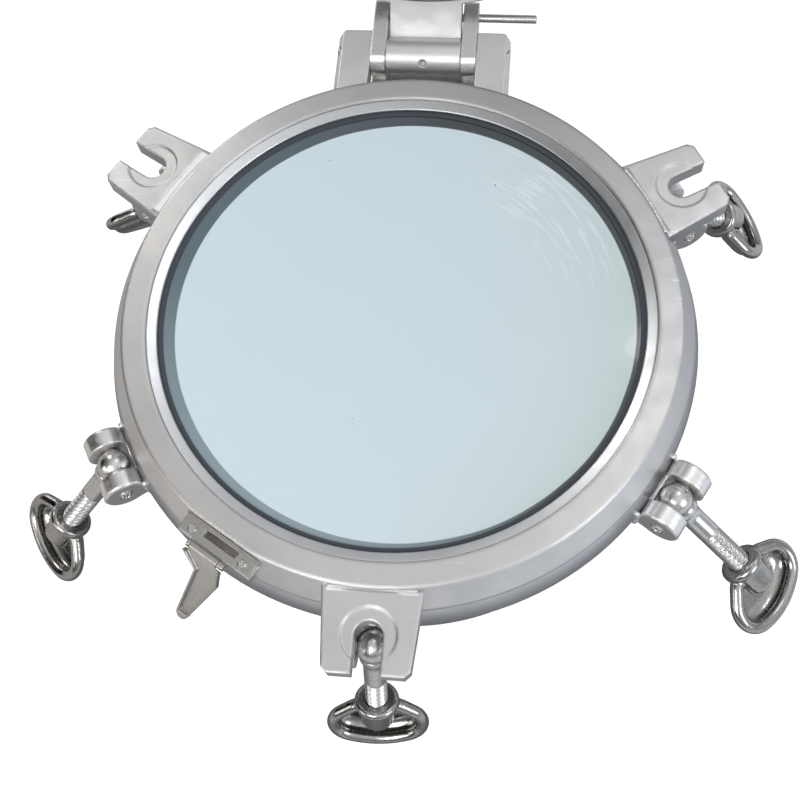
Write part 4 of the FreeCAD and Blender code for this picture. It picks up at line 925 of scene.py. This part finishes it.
@dataclass
class Dog:
    """One swing-bolt dog: clevis, riveted pin, eye bolt and hand nut.

    Attributes:
        name: where it stands on the ring.
        place: its direction from the axis, from +X, in degrees.
        droop: how far the bolt hangs below level, in degrees.
        run: where the nut's collar is along the bolt.
        turn: the nut's turn about the bolt in degrees.
        cover: what it clamps.
        seed: sets the lumps of its welds and staked ends apart.
    """

    name: str
    place: float
    droop: float
    run: float
    turn: float
    cover: Cover
    pivot_radius: float = 230.0
    pivot_height: float = 134.5
    eye_radius: float = 12.4
    eye_half: float = 10.3
    shank: float = 7.98
    rod_start: float = 6.5
    rows_per_mm: float = 3.4
    fork_edge: float = 0.7
    thread_start: float = 36.0
    ear_half: float = 24.5
    seed: int = 1

    def aim(self, run: float = 0.0, turn: float = 0.0) -> Matrix:
        """Matrix whose x axis is the bolt and whose y axis is the pivot pin.

        Args:
            run: distance along the bolt in millimetres.
            turn: turn about the bolt in degrees.

        Returns:
            The matrix, in metres.
        """
        spin = Matrix.Rotation(math.radians(self.place), 4, "Z")
        pivot = spin @ Vector((self.pivot_radius * MM, 0, self.pivot_height * MM))
        lean = Matrix.Rotation(math.radians(self.droop), 4, "Y")
        roll = Matrix.Rotation(math.radians(turn), 4, "X")
        shift = Matrix.Translation((run * MM, 0, 0))
        return Matrix.Translation(pivot) @ spin @ lean @ shift @ roll

    def build(self, threads: ShapeTree, stakes: ShapeTree, nut: bpy.types.Mesh) -> None:
        """Make and dress the dog's four pieces.

        Args:
            threads: makes the bolt's rod.
            stakes: makes the pin's staked ends.
            nut: the hand nut on the x axis.
        """
        worn("clevis_" + self.name, "fork_" + self.name, LUG_STEEL, "frame", "polished_ears",
             self.fork_edge)
        self.pin(stakes)
        self.bolt(threads)
        mesh = nut.copy()
        mesh.transform(self.aim(self.run, self.turn))
        wing = add_object("looped_nut_" + self.name, mesh)
        dress(wing, NUT_STEEL, "nut_" + self.name, "cast_stainless", "hand_nut_" + self.name)

    def pin(self, stakes: ShapeTree) -> None:
        """Pivot pin, its ends sunk in a ring and staked over.

        Args:
            stakes: makes the staked ends.
        """
        end = self.ear_half
        half = [(end - 0.9, 4.98), (end + 0.5, 4.9), (end + 0.7, 4.4), (end - 0.3, 3.7),
                (end - 0.3, 2.4), (end + 0.6, 1.6), (end + 0.9, 0.6), (end + 0.9, 0.0)]
        profile = [(-place, radius) for place, radius in reversed(half)] + half
        parts = [lathe("pin_rod", profile, 48)]
        for side in Side:
            lumps = stakes.make("stakes", bpy.data.meshes.new("seed"),
                                Seed=self.seed * 2 + side.value)
            lumps.data.transform(Matrix.Translation((side.value * (end + 0.35) * MM, 0, 0)))
            parts.append(lumps)
        whole = join("riveted_pin_" + self.name, parts)
        whole.data.transform(Matrix.Rotation(math.pi / 2, 4, "Z"))
        whole.data.transform(self.aim())
        smooth_by_angle(whole)
        dress(whole, ROD_STEEL, "frame", "stainless_rod", "clevis_pin_" + self.name)

    def bolt(self, threads: ShapeTree) -> None:
        """Eye bolt: ball-shaped eye with flats, waisted neck and threaded shank.

        Args:
            threads: makes the threaded shank.
        """
        eye = lathe("eye", self.eye_profile(), 64)
        eye.data.transform(Matrix.Rotation(math.pi / 2, 4, "Z"))
        length = self.cover.value - self.rod_start
        rod = threads.make("rod", bpy.data.meshes.new("seed"), Length=length * MM,
                           Radius=self.shank * MM, Start=(self.thread_start - self.rod_start) * MM,
                           Rows=int(length * self.rows_per_mm))
        rod.data.transform(Matrix.Translation((self.rod_start * MM, 0, 0)))
        neck = lathe("neck", [(6.8, 7.0), (8.0, 10.2), (11.2, 10.2), (12.2, 9.9), (13.2, 9.2),
                              (14.5, 8.6), (16.2, 8.2), (18.2, 8.02), (18.6, 7.0)], 64)
        whole = united("eye_bolt_" + self.name, united("eye_neck", eye, neck), rod)
        smooth_by_angle(whole, 40.0)
        whole.data.transform(self.aim())
        dress(whole, ROD_STEEL, "bolt_" + self.name, "stainless_rod", "swing_bolt_" + self.name)

    def eye_profile(self) -> list[tuple[float, float]]:
        """Outline of the eye about the pivot pin: a bulge between two flats.

        Returns:
            Corners (place, radius) in millimetres.
        """
        reach = math.asin(self.eye_half / self.eye_radius)
        bore, flat = 5.1, 6.2
        points = [(-self.eye_half, bore), (-self.eye_half, flat)]
        for step in range(25):
            angle = reach * (step / 12 - 1)
            points.append((self.eye_radius * math.sin(angle), self.eye_radius * math.cos(angle)))
        return points + [(self.eye_half, flat), (self.eye_half, bore)]


@dataclass
class HandNut:
    """Cast hand nut: collar and hub on the bolt, a looped rim and a dished web behind it."""

    tube: float = 4.8
    half_width: float = 37.0
    length: float = 56.0
    root_half: float = 12.0
    root_place: float = 9.0
    root_bend: float = 9.0
    corner_bend: float = 17.0
    end_bend: float = 54.0
    dish_depth: float = 8.8
    dish_side: float = 9.0
    dish_wall: float = 2.1
    dish_inset: float = 2.4
    back_lead: float = 2.2
    voxel: float = 0.55
    bore: float = 8.06
    bore_end: float = 39.0
    hub: Sequence[tuple[float, float]] = (
        (0.0, 12.6), (0.4, 14.2), (1.3, 15.3), (2.8, 16.0), (5.0, 16.0), (6.1, 15.2),
        (7.0, 13.6), (24.6, 11.7), (26.2, 10.6))

    def centre_line(self) -> list[Vector]:
        """The rim's centre line: three bends on either side, joined by straights.

        Returns:
            Points once round it, about a millimetre apart.
        """
        end, half = self.length - self.tube, self.half_width - self.tube
        bow = Vector((end - self.end_bend, 0.0))
        high = half - self.corner_bend
        lean = math.asin(high / (self.end_bend - self.corner_bend))
        corner = bow + (self.end_bend - self.corner_bend) * Vector((math.cos(lean), math.sin(lean)))
        root = Vector((self.root_place + self.root_bend, self.root_half))
        across = corner - root
        heading = math.atan2(across.y, across.x) + math.asin(
            (self.corner_bend - self.root_bend) / across.length)
        leave = heading + math.pi / 2
        bends = ((root, self.root_bend, math.pi, leave), (corner, self.corner_bend, leave, lean),
                 (bow, self.end_bend, lean, 0.0))
        corners = []
        for centre, radius, first, last in bends:
            steps = max(2, round(radius * abs(first - last)))
            for step in range(steps + 1):
                turn = first + (last - first) * step / steps
                corners.append(centre + radius * Vector((math.cos(turn), math.sin(turn))))
        corners += [Vector((point.x, -point.y)) for point in reversed(corners)]
        points = []
        for start, stop in zip(corners, corners[1:] + corners[:1]):
            count = max(1, round((stop - start).length))
            points += [start.lerp(stop, step / count) for step in range(count)
                       if (stop - start).length > 0.01]
        return points

    def rim(self, line: Sequence[Vector]) -> bpy.types.Object:
        """Round bar bent along the centre line.

        Args:
            line: the centre line.

        Returns:
            The bar.
        """
        work = bmesh.new()
        rings = []
        turns = [2 * math.pi * side / 28 for side in range(28)]
        for index, point in enumerate(line):
            along = (line[(index + 1) % len(line)] - line[index - 1]).normalized()
            out = Vector((along.y, -along.x))
            rings.append([work.verts.new((
                (point.x + out.x * self.tube * math.cos(turn)) * MM,
                (point.y + out.y * self.tube * math.cos(turn)) * MM,
                self.tube * math.sin(turn) * MM)) for turn in turns])
        wrap(work, [*rings, rings[0]], False)
        return taken(work, "rim")

    def dish(self, line: Sequence[Vector]) -> bpy.types.Object:
        """Dished web: steep at the rim, level in the middle, as a closed shell.

        Args:
            line: the rim's centre line.

        Returns:
            The web.
        """
        work = bmesh.new()
        skins = ({}, {})
        layers = ((skins[0], 0.0, 0.0), (skins[1], self.back_lead, self.dish_wall))
        reach = int(self.half_width)
        for x in range(int(self.length)):
            for y in range(-reach, reach + 1):
                point = Vector((float(x), float(y)))
                if not self.inside(point, line):
                    continue
                away = min((point - other).length for other in line)
                for skin, lead, wall in layers:
                    part = min(1.0, max(0.0, (away + lead - self.dish_inset) / self.dish_side))
                    depth = self.dish_depth * math.sqrt(1.0 - (1.0 - part) ** 2) + wall
                    skin[x, y] = work.verts.new((x * MM, y * MM, -depth * MM))
        for skin in skins:
            for x, y in skins[0]:
                cell = [(x, y), (x + 1, y), (x + 1, y + 1), (x, y + 1)]
                if all(key in skin for key in cell):
                    ends = [skin[key] for key in cell]
                    work.faces.new(ends if skin is skins[0] else ends[::-1])
        seam = [edge for edge in work.edges if edge.is_boundary]
        bmesh.ops.bridge_loops(work, edges=seam)
        loose = [vert for vert in work.verts if not vert.link_faces]
        bmesh.ops.delete(work, geom=loose, context="VERTS")
        return taken(work, "dish")

    @staticmethod
    def inside(point: Vector, line: Sequence[Vector]) -> bool:
        """Whether a point lies within the centre line.

        Args:
            point: the point.
            line: the centre line.

        Returns:
            True inside.
        """
        found = False
        for start, stop in zip(line, (*line[1:], line[0])):
            if (start.y > point.y) != (stop.y > point.y):
                cross = start.x + (point.y - start.y) * (stop.x - start.x) / (stop.y - start.y)
                found ^= point.x < cross
        return found

    def mesh(self) -> bpy.types.Mesh:
        """The whole nut as one flowing skin, with its bore cut last.

        Returns:
            The mesh, with x along the bolt from the collar's face.
        """
        line = self.centre_line()
        parts = [lathe("hub", [(0.0, 0.0), *self.hub, (self.hub[-1][0], 0.0)], 96), self.rim(line),
                 self.dish(line)]
        item = join("nut_casting", parts)
        skin = item.modifiers.new("Skin", "REMESH")
        skin.mode = "VOXEL"
        skin.voxel_size = self.voxel * MM
        skin.use_smooth_shade = True
        flow = item.modifiers.new("Flow", "SMOOTH")
        flow.factor = 0.5
        flow.iterations = 10
        cutter = lathe("bore", [(-3.0, self.bore + 4.0), (1.4, self.bore),
                                (self.bore_end, self.bore)], 96)
        cut = item.modifiers.new("Bore", "BOOLEAN")
        cut.operation = "DIFFERENCE"
        cut.solver = "EXACT"
        cut.object = cutter
        made = finished(item)
        bpy.data.objects.remove(cutter)
        smooth_by_angle(made, 50.0)
        mesh = made.data
        bpy.data.objects.remove(made)
        return mesh


@dataclass
class FrameRing:
    """Sleeve, frame ring, its seal, the hinge ears and the welds that hold them."""

    rim_radius: float = 215.5
    rim_slope: float = 4.5 / 13
    slope_start: float = 140.4
    weld_low: float = 124.5
    weld_rise: float = 16.0
    weld_gap: float = 0.4
    bead: float = 2.3
    bead_step: float = 1.2
    turned_edge: float = 0.6
    seal_edge: float = 0.4
    plate_edge: float = 0.9

    def build(self, beads: ShapeTree, dogs: Sequence[Dog]) -> None:
        """Make and dress the fixed pieces.

        Args:
            beads: makes the welds.
            dogs: the dogs, whose forks are welded on.
        """
        body, slot = "frame", "satin_aluminium"
        worn("hull_sleeve", "sleeve_tube", FACE_RING, body, slot, self.turned_edge)
        worn("main_frame", "frame_ring", FACE_RING, body, slot, self.turned_edge)
        worn("frame_seal", "rim_gasket", RUBBER, body, "seal_rubber", self.seal_edge, 2)
        for side in Side:
            word = side.name.lower()
            worn("frame_ear_" + word, "hinge_ear_" + word, LUG_STEEL, body, slot, self.plate_edge)
        worn("hinge_web", "web_plate", LUG_STEEL, body, slot, self.plate_edge)
        for dog in dogs:
            self.fork_weld(beads, dog)

    def fork_weld(self, beads: ShapeTree, dog: Dog) -> None:
        """Two short beads where a fork's sides meet the rim.

        Args:
            beads: makes the weld.
            dog: the dog whose fork is welded on.
        """
        turn = Matrix.Rotation(math.radians(dog.place), 4, "Z")
        mesh = bpy.data.meshes.new("line")
        points, edges = [], []
        for side in Side:
            y = side.value * (dog.ear_half + self.weld_gap)
            x = math.sqrt(self.rim_radius ** 2 - y ** 2)
            first = len(points)
            for step in range(9):
                z = self.weld_low + self.weld_rise * step / 8
                lean = max(0.0, z - self.slope_start) * self.rim_slope
                points.append(turn @ Vector(((x - lean) * MM, y * MM, z * MM)))
            edges += [(first + step, first + step + 1) for step in range(8)]
        mesh.from_pydata(points, edges, [])
        bead = beads.make("fork_weld_" + dog.name, mesh, Radius=self.bead * MM,
                          Step=self.bead_step * MM, Seed=dog.seed)
        dress(bead, WELD, "frame", "polished_ears")


@dataclass
class GlassHolder:
    """Hinged ring with its lugs, ears, glass, seal and retaining ring."""

    root_radius: float = 201.4
    root_height: float = 174.2
    root_half: float = 8.2
    band_height: float = 173.5
    band_lift: float = 0.25
    bead: float = 1.5
    bead_step: float = 1.2
    cast_edge: float = 0.8
    ear_edge: float = 1.4
    lug_edge: float = 1.1
    ring_edge: float = 0.5
    pane_edge: float = 0.3

    def build(self, beads: ShapeTree) -> None:
        """Make and dress the holder's pieces.

        Args:
            beads: makes the weld on a lug's root.
        """
        body, slot = "glass_holder", "satin_aluminium"
        worn("glass_holder", "holder_casting", CASTING, body, slot, self.cast_edge)
        for side in Side:
            word = side.name.lower()
            worn("holder_ear_" + word, "holder_lug_" + word, EAR_CASTING, body, slot,
                 self.ear_edge, 4)
        for place in ("bottom", "left_upper", "right_upper"):
            worn("lug_" + place, "slotted_lug_" + place, LUG_CASTING, body, slot,
                 self.lug_edge, 4)
        self.root_weld(beads, "right_upper", 30.0)
        self.root_band("left_upper")
        worn("retaining_ring", "bright_lip", RING_STEEL, body, "polished_ring", self.ring_edge)
        worn("glazing_seal", "channel_gasket", RUBBER, body, "seal_rubber", self.pane_edge, 2)
        worn("glass_pane", "pane", PANE, body, "glass", self.pane_edge, 2)

    def root_band(self, place: str) -> None:
        """Thin bright skin where the weld on a lug's root is ground smooth.

        Args:
            place: which lug.
        """
        skin = node_copy("lug_" + place, "ground_root_" + place)
        work = bmesh.new()
        work.from_mesh(skin.data)
        rest = [face for face in work.faces
                if face.normal.z < 0.5 or face.calc_center_median().z < self.band_height * MM]
        bmesh.ops.delete(work, geom=rest, context="FACES")
        raised = bmesh.ops.extrude_face_region(work, geom=list(work.faces))["geom"]
        for item in raised:
            if isinstance(item, bmesh.types.BMVert):
                item.co.z += self.band_lift * MM
        bmesh.ops.recalc_face_normals(work, faces=work.faces)
        work.to_mesh(skin.data)
        work.free()
        dress(skin, GROUND_BAND, "glass_holder", "satin_aluminium")

    def root_weld(self, beads: ShapeTree, place: str, middle: float) -> None:
        """Uneven bead on top of a lug's root, left as it was laid.

        Args:
            beads: makes the weld.
            place: which lug.
            middle: where the lug stands round the ring, in degrees.
        """
        mesh = bpy.data.meshes.new("line")
        points = []
        for step in range(25):
            turn = math.radians(middle + self.root_half * (step / 12 - 1))
            points.append((self.root_radius * MM * math.cos(turn),
                           self.root_radius * MM * math.sin(turn), self.root_height * MM))
        mesh.from_pydata(points, [(step, step + 1) for step in range(24)], [])
        bead = beads.make("root_weld_" + place, mesh, Radius=self.bead * MM,
                          Step=self.bead_step * MM, Seed=31)
        dress(bead, WELD, "glass_holder", "satin_aluminium")


@dataclass
class Deadlight:
    """Dished cover that leans open, with its seal, hinge pin and grub screw."""

    cast_edge: float = 1.2
    seal_edge: float = 0.4
    hinge_pin_edge: float = 0.4
    screw_edge: float = 0.15
    stay_pin_edge: float = 0.3

    def build(self) -> None:
        """Make and dress the cover's pieces, and the stay pin that it leans on."""
        body, rod = "deadlight", "stainless_rod"
        worn("deadlight_cover", "cover_casting_piece", COVER_CASTING, body, "cast_aluminium",
             self.cast_edge, 4)
        worn("deadlight_seal", "cover_gasket", PALE_RUBBER, body, "seal_rubber",
             self.seal_edge, 2)
        worn("hinge_pin", "long_hinge_pin", ROD_STEEL, body, rod, self.hinge_pin_edge)
        worn("grub_screw", "socket_screw", ROD_STEEL, body, rod, self.screw_edge, 2)
        worn("stay_pin", "leaning_pin", ROD_STEEL, "stay_pin", rod, self.stay_pin_edge)


@dataclass
class Latch:
    """Small latch on the holder's edge: plate, screws, pin, lever and a dark strip that paints the
    shade in the window.
    """

    window: Point = (-104.5, -176.35, 167.9)
    angle: float = -31.0
    half_length: float = 13.4
    half_width: float = 2.3
    rise: float = 0.8
    foot: float = -0.3
    plate_edge: float = 0.3
    small_edge: float = 0.15
    lever_edge: float = 0.4

    def build(self) -> None:
        """Make and dress the latch's pieces."""
        body, sheet, rod = "glass_holder", "latch_sheet", "stainless_rod"
        worn("latch_plate", "latch_sheet_piece", SHEET_STEEL, body, sheet, self.plate_edge)
        worn("latch_screws", "latch_heads", ROD_STEEL, body, rod, self.small_edge, 2)
        worn("latch_pin", "latch_rod", ROD_STEEL, body, rod, self.small_edge, 2)
        worn("latch_lever", "latch_flap", SHEET_STEEL, "latch_lever", sheet, self.lever_edge)
        # a dark strip that paints the shade in the plate's window
        dress(self.leaf(), SHADE_LEAF_STEEL, body, sheet)

    def leaf(self) -> bpy.types.Object:
        """Bowed dark strip that paints the shade seen through the plate's window.

        Returns:
            The leaf in its place.
        """
        work = bmesh.new()
        rows = []
        for step in range(25):
            part = step / 12 - 1
            top = self.rise * math.cos(part * math.pi / 2)
            corners = ((-self.half_width, top), (self.half_width, top),
                       (self.half_width, self.foot), (-self.half_width, self.foot))
            rows.append([work.verts.new((part * self.half_length * MM, y * MM, z * MM))
                         for y, z in corners])
        wrap(work, rows)
        item = taken(work, "shade_strip")
        item.data.transform(Matrix.Translation(Vector(self.window) * MM)
                            @ Matrix.Rotation(math.radians(self.angle), 4, "Z"))
        smooth_by_angle(item)
        return item


# Studio


@dataclass
class Studio:
    """Floor, soft light and the camera that stands where the photographer stood."""

    lens: float = 51.96
    eye: Point = (0.08030, -0.36358, 0.91021)
    right: Point = (0.99429, 0.08428, -0.06546)
    up: Point = (-0.05353, 0.92457, 0.37723)
    back: Point = (0.09232, -0.37157, 0.92380)
    lights: Sequence[tuple[str, Point, float, float, Colour]] = field(default_factory=lambda: [
        ("key", (-1.1, 1.3, 1.5), 0.55, 5.0, (1.0, 0.985, 0.96)),
        ("window", (1.5, -0.9, 1.0), 0.8, 9.0, (0.86, 0.93, 1.0)),
        ("front", (-0.5, -1.3, 1.5), 1.0, 15.0, (1.0, 1.0, 1.0)),
        ("low", (-1.55, 1.7, 0.52), 0.6, 3.0, (1.0, 1.0, 1.0)),
        ("panel", (0.68, 0.84, 1.86), 0.5, 2.5, (0.94, 0.97, 1.0)),
        ("fill", (-1.5, -1.0, 0.8), 0.9, 5.0, (1.0, 0.98, 0.95)),
    ])

    def build(self) -> None:
        """Set up floor, light and camera."""
        self.floor()
        self.sky()
        for name, place, size, power, colour in self.lights:
            self.lamp(name, Vector(place), size, power, colour)
        self.camera()

    def floor(self) -> None:
        """Large pale floor under the sleeve's back end."""
        mesh = bpy.data.meshes.new("floor")
        reach, level = 8.0, -0.0006
        mesh.from_pydata([(-reach, -reach, level), (reach, -reach, level), (reach, reach, level),
                          (-reach, reach, level)], [], [(0, 1, 2, 3)])
        ground = add_object("floor", mesh)
        mesh.materials.append(StudioFloor("studio_floor").material())

    def sky(self) -> None:
        """Soft light from above that dims toward the horizon."""
        world = bpy.data.worlds.new("studio")
        bpy.context.scene.world = world
        world.use_nodes = True
        graph = Graph(world.node_tree)
        aim = graph.node("ShaderNodeTexCoord", None, None, "Generated")
        x, _, height = graph.parts(aim)
        tone = graph.node("ShaderNodeValToRGB", {"stops": [
            (0.0, (0.30, 0.31, 0.33)), (0.16, (0.14, 0.145, 0.155)), (0.45, (0.34, 0.345, 0.355)),
            (0.75, (0.40, 0.40, 0.405)), (0.90, (0.62, 0.62, 0.62)), (1.0, (0.78, 0.78, 0.78)),
        ]}, {0: height})
        glow = graph.node("ShaderNodeBackground", None, {
            "Color": tone, "Strength": x * 1.2 + 1.08})
        graph.node("ShaderNodeOutputWorld", None, {"Surface": glow})

    def lamp(self, name: str, place: Vector, size: float, power: float, colour: Colour) -> None:
        """One soft square light aimed at the part.

        Args:
            name: the light's name.
            place: where it hangs, in metres.
            size: its side in metres.
            power: its power in watts.
            colour: its colour.
        """
        data = bpy.data.lights.new(name, "AREA")
        data.shape = "SQUARE"
        data.size = size
        data.energy = power
        data.color = colour
        item = bpy.data.objects.new(name, data)
        item.location = place
        item.rotation_euler = (Vector((0, 0, 0.12)) - place).to_track_quat("-Z", "Y").to_euler()
        bpy.context.scene.collection.objects.link(item)

    def camera(self) -> None:
        """The camera at the photograph's viewing angle."""
        data = bpy.data.cameras.new("camera")
        data.lens = self.lens
        data.sensor_width = 36.0
        data.clip_start = 0.01
        data.clip_end = 50.0
        item = bpy.data.objects.new("camera", data)
        turn = Matrix((self.right, self.up, self.back)).transposed().to_4x4()
        item.matrix_world = Matrix.Translation(self.eye) @ turn
        bpy.context.scene.collection.objects.link(item)
        bpy.context.scene.camera = item
        bpy.context.scene.view_settings.view_transform = "Standard"


def main() -> None:
    """Build the studio and every sub-assembly in order."""
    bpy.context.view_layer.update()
    Studio().build()
    dogs = [
        Dog("right_upper", 30.0, 42.5, 62.0, 7.5, Cover.HOLDER, seed=1),
        Dog("left_upper", 150.0, 57.5, 48.0, 30.0, Cover.HOLDER, seed=4),
        Dog("bottom", 270.0, 64.0, 60.0, -5.0, Cover.HOLDER, seed=7),
        Dog("left_lower", 210.0, 46.0, 73.5, -7.0, Cover.DEADLIGHT, seed=10),
        Dog("right_lower", 330.0, 35.0, 71.0, -3.0, Cover.DEADLIGHT, seed=13),
    ]
    threads, stakes, beads = thread_tree(), rivet_tree(), bead_tree()
    nut = HandNut().mesh()
    FrameRing().build(beads, dogs)
    GlassHolder().build(beads)
    Deadlight().build()
    Latch().build()
    for dog in dogs:
        dog.build(threads, stakes, nut)


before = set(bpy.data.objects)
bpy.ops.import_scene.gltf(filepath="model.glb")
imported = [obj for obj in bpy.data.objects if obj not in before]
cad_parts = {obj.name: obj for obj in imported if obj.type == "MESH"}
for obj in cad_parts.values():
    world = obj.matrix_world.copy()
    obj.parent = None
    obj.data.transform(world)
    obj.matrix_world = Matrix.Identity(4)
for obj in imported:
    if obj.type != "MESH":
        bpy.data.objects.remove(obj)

if __name__ == "__main__":
    logging.basicConfig(level=logging.INFO, format="%(message)s")
    main()
